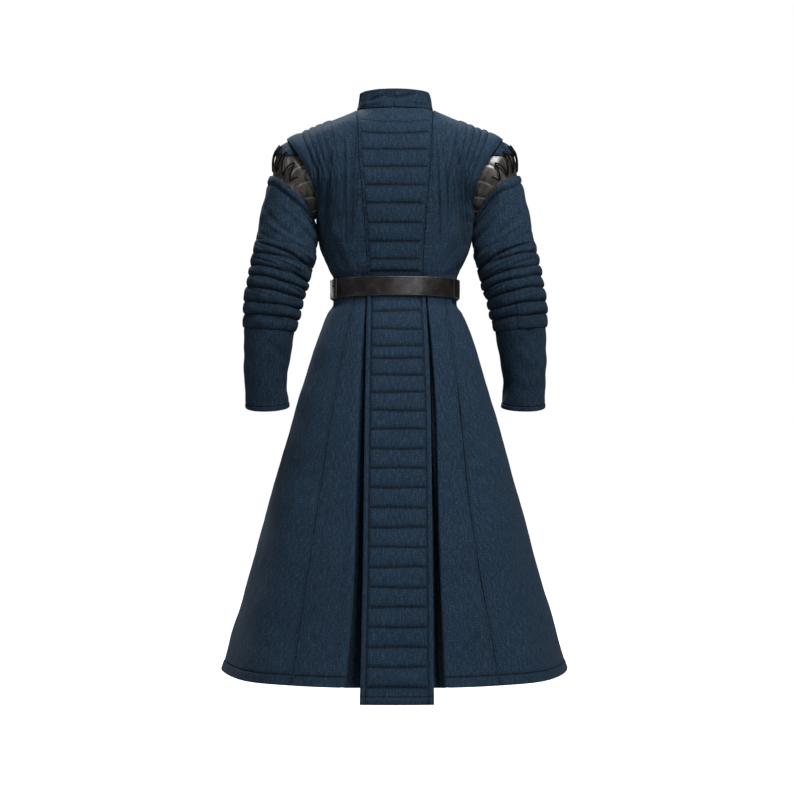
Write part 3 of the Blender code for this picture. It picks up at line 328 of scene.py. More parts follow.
# outer x and z, inner x and z, y of the middle, half depth, rise of the back of the ring
SLEEVE_RINGS = (
    (0.3200, -0.2450, 0.1868, -0.2950, 0.003, 0.0770, 0.008),
    (0.3300, -0.3080, 0.1885, -0.3367, 0.009, 0.0730, 0.008),
    (0.3347, -0.3390, 0.1990, -0.3727, 0.012, 0.0705, 0.008),
    (0.3405, -0.3686, 0.2080, -0.4060, 0.014, 0.0690, 0.008),
    (0.3450, -0.3917, 0.2136, -0.4260, 0.015, 0.0680, 0.007),
    (0.3500, -0.4195, 0.2207, -0.4474, 0.015, 0.0665, 0.006),
    (0.3555, -0.4531, 0.2271, -0.4722, 0.013, 0.0645, 0.005),
    (0.3571, -0.4817, 0.2319, -0.4962, 0.010, 0.0630, 0.003),
    (0.3586, -0.5136, 0.2383, -0.5241, 0.006, 0.0605, 0.000),
    (0.3610, -0.5900, 0.2510, -0.5930, -0.008, 0.0560, -0.005),
    (0.3595, -0.6477, 0.2583, -0.6477, -0.021, 0.0530, -0.008),
    (0.3579, -0.7048, 0.2536, -0.7030, -0.034, 0.0545, -0.010),
)
ELBOW_FROM, ELBOW_TO = 2, 9
ROLL_PUFF = 0.0060
BAND_PLATES = 14
BAND_STEP = 0.0012
BAND_TUCK = 0.07
BAND_IN_SLEEVE = 0.0014
CAP_REACH = 0.17
CAP_HIGH_V, CAP_LOW_V, CAP_END_V = 0.06, 0.50, 0.36
CAP_CLEAR = 0.0010
LACE_RADIUS = 0.0013
LACE_CLEAR = 0.0014
LACE_ON_CAP = BAND_STEP + CAP_CLEAR + CAP_CLOTH + LACE_CLEAR + LACE_RADIUS
LACE_ON_BAND = BAND_STEP + LAID + LACE_RADIUS
LACE_STEP = 24
LACE_HALF_TURNS = 4
LACE_CROSSING = (
    (0.00, 0.33, LACE_ON_CAP),
    (0.16, 0.47, LACE_ON_CAP),
    (0.26, 0.56, LACE_ON_CAP - 0.0006),
    (0.50, 0.72, LACE_ON_BAND),
    (0.74, 0.56, LACE_ON_CAP - 0.0006),
    (0.84, 0.47, LACE_ON_CAP),
)
# z, half width, depth behind, depth in front
SKIRT_LEVELS = (
    (WAIST_Z, 0.1468, 0.0985, 0.1015),
    (-0.4590, 0.1468, 0.0985, 0.1015),
    (-0.4800, 0.1600, 0.1100, 0.115),
    (-0.5550, 0.1890, 0.1370, 0.140),
    (-0.6980, 0.2330, 0.1800, 0.180),
    (-0.8400, 0.2730, 0.2150, 0.212),
    (-1.0905, 0.3420, 0.2800, 0.272),
    (HEM_Z, 0.4100, 0.3400, 0.330),
    (-1.3700, 0.4250, 0.3540, 0.342),
)
# z, x of the fold on the left and on the right, how deep the fold goes in
PLEATS = (
    (WAIST_Z, 0.0672, 0.0730, 0.0062),
    (-0.560, 0.0770, 0.0850, 0.0180),
    (-0.730, 0.0850, 0.0950, 0.0300),
    (-1.000, 0.0900, 0.1000, 0.0480),
    (HEM_Z, 0.1110, 0.1110, 0.0700),
)
TAIL_EDGES = (
    (WAIST_Z, 0.0664, -0.0721),
    (-0.730, 0.0703, -0.0835),
    (-1.050, 0.0728, -0.0857),
    (TAIL_END_Z, 0.0782, -0.0875),
)
TAIL_FIRST_LINE_Z = -0.4786
TAIL_ROLLS_MM = (43, 40, 28, 39, 40, 42, 42, 45, 44, 44, 45, 44, 44, 44, 45, 43, 44, 43, 43, 43)
TAIL_PUFF = 0.0040
GORE_SEAMS = (
    (WAIST_Z, 0.0905, 0.1160, 128),
    (-0.688, 0.1413, 0.1480, 130),
    (-0.934, 0.1770, 0.1720, 132),
    (HEM_Z, 0.2330, 0.2350, 134),
)
FLUTES = ((48, 16, 0.006), (74, 18, -0.005), (102, 20, 0.006), (127, 15, -0.006), (148, 16, 0.007))
BELT_RING = (0.1478, 0.0997, 0.1094)
BELT_HALF_HEIGHT = 0.0222
BELT_MIDDLE_Z = -0.4256
BELT_TILT = 0.066
BELT_SIDE_END = 62
BELT_BACK_END = 80
BUCKLE_X = 0.004
BUCKLE_HALF_WIDTH = 0.024
BUCKLE_HALF_HEIGHT = 0.0275
BUCKLE_ROD = 0.0026
BUCKLE_STRAP_END = 170.4
TONGUE_RISE = (175, 184)
TONGUE_OFF = 0.0060
TONGUE_END = 142
PRONG_RADIUS = 0.0018
KEEPER_X = 0.052
KEEPER_HALF = 0.007        # half its width along the strap
KEEPER_WALL = 0.0018
KEEPER_CORNER = 0.0022
KEEPER_INSET = 0.0004      # how far its two edge rows are drawn in
COLLAR_OVER_SEAM = 0.0008
COLLAR_TOP = (0.0835, 0.0600, 0.0640, 0.0480, 0.0430, 0.0200)
COLLAR_OPENING = 5
print("coat:", round(TAIL_END_Z - RIDGE_AT_MIDDLE, 3), "m from the collar's level to the tail's end")

# %% Smooth lines through the tables
def curve(table, column, at):
    """One column of a table at values of its first column: a smooth line that never overshoots."""
    keys = np.array([row[0] for row in table], float)
    values = np.array([row[column] for row in table], float)
    if keys[0] > keys[-1]:
        keys, values = keys[::-1], values[::-1]
    at = np.clip(at, keys[0], keys[-1])
    steps = np.diff(keys)
    slopes = np.diff(values) / steps
    bends = np.zeros(len(keys))
    bends[0], bends[-1] = slopes[0], slopes[-1]
    for i in range(1, len(keys) - 1):
        if slopes[i - 1] * slopes[i] > 0:
            near, far = 2 * steps[i] + steps[i - 1], steps[i] + 2 * steps[i - 1]
            bends[i] = (near + far) / (near / slopes[i - 1] + far / slopes[i])
    i = np.clip(np.searchsorted(keys, at, "right") - 1, 0, len(steps) - 1)
    f = (at - keys[i]) / steps[i]
    return ((1 + 2 * f) * (1 - f) ** 2 * values[i] + f * (1 - f) ** 2 * steps[i] * bends[i]
            + f * f * (3 - 2 * f) * values[i + 1] - f * f * (1 - f) * steps[i] * bends[i + 1])


def mix(a, b, share):
    return a + (b - a) * share


def smooth(low, high, value):
    """0 below low, 1 above high, an even S between them."""
    f = np.clip((value - low) / (high - low), 0.0, 1.0)
    return f * f * (3 - 2 * f)


def bell(value, width, middle=0.0):
    """1 at the middle, falling off smoothly: a third of it is left at this width away."""
    return np.exp(-((value - middle) / width) ** 2)


def points_of(x, y, z):
    return np.stack(np.broadcast_arrays(x, y, z), axis=-1).astype(float)


def unit(vectors):
    return vectors / np.maximum(np.linalg.norm(vectors, axis=-1, keepdims=True), 1e-12)


NORMAL_STEP = 1e-3


def unit_normals(base, u, v, outwards, across):
    """The unit normals from the step across and a step down."""
    along = base(u, np.minimum(v + NORMAL_STEP, 1)) - base(u, np.maximum(v - NORMAL_STEP, 0))
    return unit(np.cross(across, along)) * outwards


def normals_of(base, u, v, outwards):
    """Unit normals of a base surface at grids of u and v, on the side that outwards gives."""
    across = base(np.minimum(u + NORMAL_STEP, 1), v) - base(np.maximum(u - NORMAL_STEP, 0), v)
    return unit_normals(base, u, v, outwards, across)


def tube_normals(base, u, v, outwards):
    """As normals_of, for a surface that closes round u."""
    across = base((u + NORMAL_STEP) % 1.0, v) - base((u - NORMAL_STEP) % 1.0, v)
    return unit_normals(base, u, v, outwards, across)


print("half width at the waist:", float(curve(BODICE_LEVELS, 1, WAIST_Z)))

# %% [markdown]
# ## What cloth does between its seams
# Padding swells between two lines of stitches and is pinched flat along them. Beside each line the
# cloth puckers. Elsewhere it is never quite even: it has creases where it bends, and a slow
# unevenness all over. Each of these is a height above the smooth surface, in metres.

# %% Heights: pillows, creases and unevenness
def pillow(value, lines, height, softness=0.5):
    """Height of the padding between the quilting lines on each side of each value."""
    lines = np.array(sorted(lines))
    i = np.clip(np.searchsorted(lines, value, "right") - 1, 0, len(lines) - 2)
    f = np.clip((value - lines[i]) / (lines[i + 1] - lines[i]), 0.0, 1.0)
    return height * np.maximum(np.sin(pi * f), 0.0) ** softness


def nearest_line(value, lines):
    """How far each value is from the nearest of the lines."""
    lines = np.array(sorted(lines))
    i = np.clip(np.searchsorted(lines, value), 1, len(lines) - 1)
    return np.minimum(np.abs(value - lines[i - 1]), np.abs(value - lines[i]))


def crease(x, y, x0, y0, x1, y1, width, height):
    """A soft trough (height below 0) or ridge along a line, running out towards both of its ends."""
    dx, dy = x1 - x0, y1 - y0
    t = np.clip(((x - x0) * dx + (y - y0) * dy) / (dx * dx + dy * dy), 0.0, 1.0)
    away = (x - x0 - t * dx) ** 2 + (y - y0 - t * dy) ** 2
    return height * np.exp(-away / width ** 2) * np.sin(pi * (0.1 + 0.8 * t)) ** 0.7


def creases(x, y, table):
    return sum(crease(x, y, *row) for row in table)


UNEVEN_WAVES = 8


def uneven(points, size, height, seed):
    """A slow unevenness: waves of about this size, in directions drawn from a fixed seed."""
    pick = np.random.RandomState(seed)
    total = 0.0
    for _ in range(UNEVEN_WAVES):
        way = pick.normal(size=3)
        way = way / np.linalg.norm(way) * (2 * pi / (size * pick.uniform(0.7, 1.5)))
        total = total + np.sin(points @ way + pick.uniform(0, 2 * pi))
    return total * height / 3


def with_painted_shade(height, dark):
    """What a relief returns: its height, and its painted shade from 0 to 1, which darkens the colour where
    shade falls.
    """
    return height, {"painted_shade": np.clip(dark, 0, 1)}


def rounded(distance, radius):
    """How far an edge drops off this far from the border, for a turned edge of this radius."""
    near = np.clip(1 - distance / radius, 0.0, 1.0)
    return -radius * (1 - np.sqrt(1 - near ** 2))


print("a 4 mm pillow at a quarter of its width:", round(float(pillow(0.25, (0, 1), 4.0)), 2), "mm")

# %% [markdown]
# ## Building a wall of cloth
# Each piece is a closed wall: a fine outer grid that carries the relief, a plainer inner grid, and a
# rim that joins them. Its UV map is measured along the cloth in metres, so that the yarns keep their
# size however the piece flares.

# %% Cloth wall
ROOT = "root"
TURNED_ROWS = (0.0006, 0.0014, 0.0024)    # metres from a turned edge to its first three rows
FINE_ROW = 0.001                          # metres between the rows round a stitched line


def steps_along(length, spacing, turned=(True, True)):
    """Grid values from 0 to 1 for a piece about this long, with closer ones at each turned edge."""
    count = max(int(round(length / spacing)), 4)
    values = list(np.linspace(0.0, 1.0, count + 1))
    edge = [row / length for row in TURNED_ROWS]
    if turned[0]:
        values = [0.0] + edge + [v for v in values if v > edge[-1] * 1.3]
    if turned[1]:
        values = [v for v in values if v < 1 - edge[-1] * 1.3] + [1 - e for e in edge[::-1]] + [1.0]
    return np.array(values)


def stitched_rows(length, spacing, *places, turned=(True, True)):
    """Grid values with finer rows round places in metres, from the end where they are negative."""
    values = steps_along(length, spacing, turned)
    for place in places:
        middle = (place if place > 0 else length + place) / length
        near = middle + np.arange(-3.5, 4.0) * FINE_ROW / length
        values = np.concatenate([values[np.abs(values - middle) > 4.4 * FINE_ROW / length], near])
    return np.unique(np.clip(values, 0.0, 1.0))


def lengths(grid, axis):
    """Distance run along a grid of points, from 0 at its first row or column."""
    gaps = np.linalg.norm(np.diff(grid, axis=axis), axis=-1)
    start = np.zeros_like(np.take(gaps, [0], axis=axis))
    return np.concatenate([start, np.cumsum(gaps, axis=axis)], axis=axis)


def kept_back(grid, sides, closed):
    """The grid with its seam edges drawn back by the seam gap: first and last column, first and last row."""
    grid = grid.copy()
    for here, inside, on in (((slice(None), 0), (slice(None), 1), sides[0] and not closed),
                             ((slice(None), -1), (slice(None), -2), sides[1] and not closed),
                             ((0,), (1,), sides[2]), ((-1,), (-2,), sides[3])):
        if on:
            grid[here] = grid[here] + unit(grid[inside] - grid[here]) * SEAM
    return grid


def zipped(first, second, at_first, at_second):
    """Triangles between two rows of points with different counts, matched by their positions."""
    faces = []
    i = j = 0
    while i < len(first) - 1 or j < len(second) - 1:
        next_i = at_first[i + 1] if i < len(first) - 1 else 2e9
        next_j = at_second[j + 1] if j < len(second) - 1 else 2e9
        if next_i <= next_j:
            faces.append((first[i], first[i + 1], second[j]))
            i += 1
        else:
            faces.append((first[i], second[j + 1], second[j]))
            j += 1
    return faces


def grid_faces(rows, columns, closed, start=0):
    """Quads of a grid, and for each corner its row and its column, which runs one past a closed grid."""
    r, c = np.meshgrid(np.arange(rows - 1), np.arange(columns if closed else columns - 1), indexing="ij")
    r, c = r.ravel(), c.ravel()
    corner_r = np.stack([r, r, r + 1, r + 1], axis=1)
    corner_c = np.stack([c, c + 1, c + 1, c], axis=1)
    return start + corner_r * columns + corner_c % columns, corner_r, corner_c


def finished(name, mesh):
    """A new smooth object of a closed mesh, with every face turned outwards."""
    shape = bmesh.new()
    shape.from_mesh(mesh)
    bmesh.ops.recalc_face_normals(shape, faces=shape.faces)
    if shape.calc_volume(signed=True) < 0:
        bmesh.ops.reverse_faces(shape, faces=shape.faces)
    shape.to_mesh(mesh)
    shape.free()
    mesh.shade_smooth()
    return placed(name, mesh)


def build(name, outer, inner, us, vs, inner_us, inner_vs, surface, within, closed, values):
    """A closed wall from its outer and inner grid, with the cloth UV map and its point attributes."""
    rows, columns = outer.shape[:2]
    in_rows, in_columns = inner.shape[:2]
    points = np.concatenate([outer.reshape(-1, 3), inner.reshape(-1, 3)])
    start = rows * columns
    quads, r, c = grid_faces(rows, columns, closed)
    in_quads, in_r, in_c = grid_faces(in_rows, in_columns, closed, start)
    wrapped = np.concatenate([outer, outer[:, :1]], axis=1) if closed else outer
    middle = wrapped.shape[1] // 2
    run = lengths(wrapped, 1)
    run = run - run[:, middle:middle + 1]
    down = lengths(wrapped, 0)[:, middle]
    at_u = np.append(us, 1.0) if closed else us
    in_at_u = np.append(inner_us, 1.0) if closed else inner_us
    half_run = run[rows // 2]
    rim = []
    for row, in_row in ((0, 0), (rows - 1, in_rows - 1)):
        first = [row * columns + k for k in range(columns)]
        second = [start + in_row * in_columns + k for k in range(in_columns)]
        if closed:
            first, second = first + first[:1], second + second[:1]
        rim += zipped(first, second, at_u, in_at_u)
    if not closed:
        for column, in_column in ((0, 0), (columns - 1, in_columns - 1)):
            first = [k * columns + column for k in range(rows)]
            second = [start + k * in_columns + in_column for k in range(in_rows)]
            rim += zipped(first, second, vs, inner_vs)
    mesh = bpy.data.meshes.new(name)
    mesh.from_pydata(points.tolist(), [], quads.tolist() + in_quads.tolist() + rim)
    uv = mesh.uv_layers.new(name="cloth")
    flat = np.stack([run[r, c], down[r]], axis=-1).reshape(-1, 2)
    in_flat = np.stack([np.interp(in_at_u[in_c], at_u, half_run), np.interp(inner_vs[in_r], vs, down)],
                       axis=-1).reshape(-1, 2)
    coords = np.concatenate([flat, in_flat])
    at_point = np.zeros((len(points), 2))
    at_point[np.concatenate([quads.ravel(), in_quads.ravel()])] = coords
    point_of_corner = np.zeros(len(mesh.loops), int)
    mesh.loops.foreach_get("vertex_index", point_of_corner)
    # the corners of the rim come last, and take the values of the points that they share
    rim_coords = at_point[point_of_corner[len(coords):]]
    uv.data.foreach_set("uv", np.concatenate([coords, rim_coords]).ravel())
    for key, grid in values.items():
        layer = mesh.attributes.new(key, "FLOAT", "POINT")
        filled = np.zeros(len(points))
        filled[:start] = np.broadcast_to(grid, (rows, columns)).ravel()
        layer.data.foreach_set("value", filled)
    mesh.materials.append(surface)
    mesh.materials.append(within)
    indexes = np.zeros(len(mesh.polygons), int)
    indexes[len(quads):len(quads) + len(in_quads)] = 1
    mesh.polygons.foreach_set("material_index", indexes)
    return finished(name, mesh)


def fit_in(piece, node):
    """The piece rides with the coat and stands for the solid of the same place."""
    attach(piece, ROOT)
    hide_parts(node)


MADE = {}         # outer grid, normals and grid values of each finished piece
CUT_GRIDS = {}    # the whole outer grid of a piece that goes on past the face kept in MADE


def panel(node, base, us, vs, thickness, outwards, raised, surface=WOOL, within=WOOL_INSIDE_PAINTED_SHADE,
          back_off=(True, True, True, True), closed=False, every=4, name=None):
    """A wall on a base surface. raised(u, v, points) gives its height and the values of its attributes."""
    normals = tube_normals if closed else normals_of
    if closed:
        us = us[:-1]
    u, v = np.meshgrid(us, vs)
    points, out = base(u, v), normals(base, u, v, outwards)
    height, values = raised(u, v, points)
    height = np.maximum(height, -0.6 * thickness)
    outer = kept_back(points + out * np.asarray(height)[..., None], back_off, closed)
    inner_us = us[::every] if closed else np.unique(np.append(us[::every], 1.0))
    inner_vs = np.unique(np.append(vs[::every], 1.0))
    iu, iv = np.meshgrid(inner_us, inner_vs)
    inner = kept_back(base(iu, iv) - normals(base, iu, iv, outwards) * thickness, back_off, closed)
    centre = outer.reshape(-1, 3).mean(axis=0)
    piece = build(name or f"{node}_cloth", outer, inner, us, vs, inner_us, inner_vs, surface, within, closed,
                  values)
    fit_in(piece, node)
    MADE[node] = (outer, out, us, vs)
    print(piece.name, len(piece.data.polygons), "faces, middle", [round(float(k), 3) for k in centre])
    return piece


def cut_of(node):
    """Width, length and area of the cloth that shows, measured along the piece's outer face."""
    grid = CUT_GRIDS.get(node, MADE[node][0])
    area = 0.0
    for a, b, c in ((grid[:-1, :-1], grid[:-1, 1:], grid[1:, :-1]),
                    (grid[1:, 1:], grid[1:, :-1], grid[:-1, 1:])):
        area += 0.5 * np.linalg.norm(np.cross(b - a, c - a), axis=-1).sum()
    wide, long = float(lengths(grid, 1)[:, -1].max()), float(lengths(grid, 0)[-1].max())
    return wide, long, min(float(area), wide * long)


print("seam gap:", 2 * SEAM * 1000, "mm")

# %% [markdown]
# ## The bodice's smooth surface
# Up to the shoulder blades the bodice is a stack of rounded sections. Above them it arches over to
# the shoulder ridge and down again in front, and in the middle it stops at the neck seam.

# %% Bodice surface
def depth_at(x, half, depth):
    return depth * (1 - np.minimum(np.abs(x) / half, 1.0) ** ROUNDNESS) ** (1 / ROUNDNESS)


def neck_share(x):
    return np.sqrt(np.clip(1 - (x / NECK_HALF) ** 2, 0.0, None))


def arch_end(x, front):
    """Angle of the arch where the cloth ends: the ridge, or the neck seam inside the neck's width."""
    depth = depth_at(x, BODICE_LEVELS[-1][1], BODICE_LEVELS[-1][3 if front else 2])
    neck = (NECK_FRONT if front else NECK_BACK) * neck_share(x)
    return np.where(np.abs(x) >= NECK_HALF, pi / 2, np.arccos(np.clip(neck / depth, -1, 1)))


def neck_z(x, front):
    """The neck seam is level behind and dips in front."""
    side = RIDGE_AT_MIDDLE - RIDGE_SLOPE * np.maximum(np.abs(x), NECK_HALF)
    return side - (0.034 * neck_share(x) ** 1.5 if front else 0.0)


def edge_x(level):
    """x of the armhole or side seam: level is a z up to the blade, then 1 + the share of the arch."""
    return np.where(level <= 0, curve(BODICE_LEVELS, 4, np.minimum(level, BLADE_Z)),
                    curve(FLANGE_EDGE, 1, level - 1))


def seam_x(level):
    low = np.interp(level, [row[0] for row in BACK_SEAM], [row[1] for row in BACK_SEAM])
    return np.where(level <= 0, low, mix(BACK_SEAM[-1][1], NECK_HALF, level - 1))


def half_at(level):
    return np.where(level <= 0, curve(BODICE_LEVELS, 1, np.minimum(level, BLADE_Z)), BODICE_LEVELS[-1][1])


def bodice_point(x, level, front=False):
    side = -1 if front else 1
    column = 3 if front else 2
    z = np.minimum(level, BLADE_Z)
    low = points_of(x, side * depth_at(x, curve(BODICE_LEVELS, 1, z), curve(BODICE_LEVELS, column, z)), z)
    half, depth = BODICE_LEVELS[-1][1], BODICE_LEVELS[-1][column]
    end = arch_end(x, front)
    turn = np.maximum(level - 1, 0) * end
    rise = (neck_z(x, front) - BLADE_Z) / np.sin(end)
    high = points_of(x, side * depth_at(x, half, depth) * np.cos(turn), BLADE_Z + rise * np.sin(turn))
    return np.where((level <= 0)[..., None], low, high)


def level_of(v):
    """Row position 0 to 1 as a level."""
    low = mix(WAIST_Z, BLADE_Z, v / LOW_SHARE)
    return np.where(v < LOW_SHARE, low, 1 + (v - LOW_SHARE) / (1 - LOW_SHARE))


def row_of(z):
    return LOW_SHARE * (z - WAIST_Z) / (BLADE_Z - WAIST_Z)


def back_line_row(z):
    """Row of a height at the middle of the back."""
    if z <= BLADE_Z:
        return row_of(z)
    end = float(arch_end(np.array(0.0), False))
    rise = float((neck_z(np.array(0.0), False) - BLADE_Z) / np.sin(end))
    return LOW_SHARE + (1 - LOW_SHARE) * np.arcsin(min((z - BLADE_Z) / rise, 1.0)) / end


def mirrored(points, sign):
    return points * np.array([sign, 1, 1])


print("shoulder breadth:", round(2 * FLANGE_EDGE[-1][1], 3), "m")

# %% [markdown]
# ## Centre back panel
# A narrow panel runs from the collar to the belt. Ten rows of machine stitches cross it and stop a
# finger's width from its side seams, and the wadding between them swells into low flat rolls. Along
# each row the cloth is drawn into small puckers, and the groove is darkened with painted shade.

# %% Centre back
QUILT_MARGIN = 0.008      # between the end of a quilting line and the panel's edge
GROOVE_HALF = 0.0025      # half width of the groove and of the painted shade in it
GROOVE_SHADE = 0.0064     # half width of the softer shade beside it
PUCKER = 0.0085           # spacing of the puckers beside a line
BACK_PANEL_LENGTH = 0.487
EDGE_RADIUS = 0.0022      # of the turned edges of the padded pieces


def centre_back_base(u, v):
    level = level_of(v)
    half = seam_x(level) - SEAM_AT_NECK * smooth(1.0, 1.5, level)
    return bodice_point(mix(-half, half, u), level)


def puckers(run, away, seed, height=0.00045, reach=0.008):
    """Small ripples that run out from a row of stitches."""
    pick = np.random.RandomState(seed)
    waves = sum(np.sin(run * 2 * pi / (PUCKER * k) + pick.uniform(0, 6)) for k in (0.7, 1.0, 1.43))
    return height * waves / 2 * np.exp(-away / reach) * smooth(0.0, 0.002, away)


BACK_LINE_ROWS = sorted(back_line_row(z) for z in BACK_LINES)


def quilted(v, along, lines, inside, length, puff, seed):
    """Height and painted shade of a strip of this length: inside is 1 over the quilting, 0 on the plain
    margins.
    """
    away = nearest_line(v, lines) * length
    lift = pillow(v, lines, puff, 0.42) * inside
    line = bell(away, GROOVE_HALF) * smooth(0.15, 0.6, inside)
    within = (v > min(lines) - 0.01) & (v < max(lines) + 0.01)
    ripple = puckers(along + 0.013 * np.sin(v * 91), away, seed) * inside
    above = nearest_line(v + 1e-4, lines) < nearest_line(v, lines)
    # painted shade beside each line, stronger just above it, where the foot of the roll above turns from the
    # light
    shade = np.where(above, 0.58, 0.20) * bell(away, GROOVE_SHADE) * smooth(0.15, 0.6, inside)
    return lift + ripple - 0.0009 * line * within, np.maximum(0.9 * line, shade) * within


def back_centre_relief(u, v, points):
    wide = 2 * np.abs(points[:, -1, 0])[:, None]
    from_edge = np.minimum(u, 1 - u) * wide
    inside = smooth(QUILT_MARGIN * 0.55, QUILT_MARGIN * 1.5, from_edge)
    height, painted_shade = quilted(v, points[..., 0], BACK_LINE_ROWS, inside, BACK_PANEL_LENGTH, BACK_PUFF, 3)
    side_line = bell(from_edge, 0.0014, QUILT_MARGIN * 0.62)
    height = height + rounded(from_edge, EDGE_RADIUS) - 0.0005 * side_line + uneven(points, 0.05, 0.0005, 5)
    down = lengths(points, 0)
    height = height + puckers(down, from_edge, 9, 0.0010, 0.007)
    # painted shade along the side seams and the side lines, added to the quilting's
    seam = bell(from_edge, 0.0022) * (0.75 + 0.25 * np.sin(down * 2 * pi / 0.017))
    return with_painted_shade(height, painted_shade + 0.35 * side_line + 0.8 * seam)


panel("back_centre", centre_back_base, steps_along(0.16, 0.0019), steps_along(0.48, 0.0021), BODICE_CLOTH, -1,
      back_centre_relief)

# %% [markdown]
# ## Side backs
# From the armhole in, stuffed channels run over the shoulder and down the back, closer and closer
# together, and run out below the arm. The outermost is the flange, which stands free over the
# armhole. Between the channels and the seam the cloth is drawn into many fine upright wrinkles that
# lean towards the underarm.

# %% Side backs and the wrinkles towards the underarm
UNDERARM_FULL = 0.0072     # how far the padding stands out below the armhole
PAINTED_SHADE_TONE = 0.16              # painted shade: how much darker the cloth is painted below the arms and on the sleeves from the elbow down, on the painted shade's scale; the collar takes 0.6 of it
FINE_WRINKLES = 34
ARMHOLE_STITCH = 0.0065    # metres from the armhole's edge


def channel_lines(v):
    level = level_of(v)
    down = np.clip((BLADE_Z - level) / (BLADE_Z - CHANNELS_END_Z), 0, 1)
    share = np.where(level > 0, mix(0.62, 1.0, np.clip(level - 1, 0, 1)), 0.62 * (1 - down))
    return [mix(low, high, share) for high, low, _ in CHANNELS]


def channel_relief(u, v):
    """Height of the stuffed channels, and the painted shade along the line between two of them."""
    level = level_of(v)
    fade = np.where(level > 0, 1.0, 1 - smooth(0, 1, (BLADE_Z - level) / (BLADE_Z - CHANNELS_END_Z)))
    lines = channel_lines(v)
    height = np.zeros_like(u)
    painted_shade = np.zeros_like(u)
    for i in range(1, len(lines)):
        f = np.clip((u - lines[i - 1]) / (lines[i] - lines[i - 1]), 0, 1)
        swell = np.maximum(np.sin(pi * f), 0) ** 0.45
        skewed = swell * (1 - 0.25 * f)
        height += CHANNELS[i][2] * fade * skewed * ((u >= lines[i - 1]) & (u <= lines[i]))
        painted_shade = np.maximum(painted_shade, fade * bell(u, 0.014, lines[i - 1]))
    return height, painted_shade


def underarm_wrinkles(x, z, seed):
    """Many fine wrinkles that fall from the shoulder and lean towards the underarm."""
    pick = np.random.RandomState(seed)
    total = np.zeros_like(x)
    for i in range(FINE_WRINKLES):
        start = 0.088 + 0.118 * (i + pick.uniform(-0.4, 0.4)) / FINE_WRINKLES
        share = i / FINE_WRINKLES
        top = pick.uniform(-0.13, -0.04) - 0.05 * share
        if start > 0.12:
            end = mix(start, 0.176, 0.42 + 0.25 * share)
        else:
            end = start + pick.uniform(-0.004, 0.014)
        bottom = pick.uniform(-0.33, -0.21)
        width = pick.uniform(0.0016, 0.0034)
        total += crease(x, z, start, top, end, bottom, width, pick.choice([-0.0011, 0.0009, -0.0014]))
    return total


# x across from the middle, z at each end, width and height: the main creases of one side of the back
BACK_CREASES = (
    (0.168, -0.205, 0.150, -0.300, 0.008, -0.0030),
    (0.178, -0.225, 0.166, -0.335, 0.007, 0.0024),
    (0.158, -0.235, 0.139, -0.340, 0.010, 0.0022),
    (0.145, -0.315, 0.112, -0.385, 0.012, -0.0022),
    (0.128, -0.300, 0.098, -0.372, 0.014, 0.0020),
    (0.158, -0.370, 0.118, -0.396, 0.008, -0.0020),
    (0.100, -0.345, 0.079, -0.392, 0.009, -0.0014),
)


def side_base(sign):
    def base(u, v):
        level = level_of(v)
        half = half_at(level)
        start = np.arcsin(np.minimum(seam_x(level) / half, 1.0))
        end = np.arcsin(np.minimum(edge_x(level) / half, 1.0))
        return mirrored(bodice_point(half * np.sin(mix(start, end, u)), level), sign)
    return base


def from_border(points, which):
    """Distance of each grid point from one border: 0 first column, 1 last column, 2 first row, 3 last row."""
    if which < 2:
        run = lengths(points, 1)
        return run if which == 0 else run[:, -1:] - run
    run = lengths(points, 0)
    return run if which == 2 else run[-1:] - run


def underarm_fullness(edge, z):
    """Padding that stands out below the arm, where the bodice nearly touches the sleeve."""
    return UNDERARM_FULL * bell(edge, 0.045) * smooth(-0.220, -0.252, z) * smooth(-0.392, -0.335, z)


def side_back_relief(sign):
    def raised(u, v, points):
        x, z = sign * points[..., 0], points[..., 2]
        height, painted_shade = channel_relief(u, v)
        wrinkles = 1.5 * underarm_wrinkles(x, z, 11 if sign > 0 else 12) * smooth(-0.40, -0.30, z)
        height = height + wrinkles
        height += creases(x, z, BACK_CREASES) + uneven(points, 0.045, 0.0007, 21 + sign)
        seam, edge = from_border(points, 0), from_border(points, 1)
        height += rounded(seam, EDGE_RADIUS) + rounded(edge, EDGE_RADIUS) + underarm_fullness(edge, z)
        height += puckers(lengths(points, 0), seam, 13 + sign, 0.0012, 0.010)
        stitch = bell(edge, 0.0013, ARMHOLE_STITCH) * smooth(-0.25, -0.21, z)
        height -= 0.0006 * stitch
        # painted shade in the channel lines, the seam, the armhole stitches and the wrinkles' troughs
        dark = 0.6 * painted_shade + 0.7 * bell(seam, 0.0018) + 0.5 * stitch
        dark = np.maximum(dark, 0.34 * np.clip(-wrinkles / 0.0018, 0, 1))
        # painted shade where the arm shades the side of the back below it
        dark = dark + PAINTED_SHADE_TONE * smooth(0.105, 0.150, x) * smooth(-0.25, -0.30, z)
        return with_painted_shade(height, dark)
    return raised


for side, sign in SIDES:
    panel(f"back_side_{side}", side_base(sign), steps_along(0.19, 0.0016), steps_along(0.50, 0.0026),
          BODICE_CLOTH, -sign, side_back_relief(sign))

# %% [markdown]
# ## Fronts
# The front isn't in the photograph, so it is finished as plainly as such a coat can be: the same
# channels over the shoulder, no pockets, no buttons, and the right front laid over the left with a
# row of stitches along its edge. It has the same kinds of wrinkles as the back, because the same
# sleeve pulls on it.

# %% Fronts
def along_shares(u, shares, values):
    """Straight stretches between values at fixed shares of u. The values are grids."""
    total = values[0] + 0.0 * u
    for i in range(len(shares) - 1):
        way = np.clip((u - shares[i]) / (shares[i + 1] - shares[i]), 0, 1)
        total = total + (values[i + 1] - values[i]) * way
    return total


def over_the_other(x):
    """1 where the right front lies over the left one."""
    return 1 - smooth(OVERLAP_IN, OVERLAP_STEP, x)


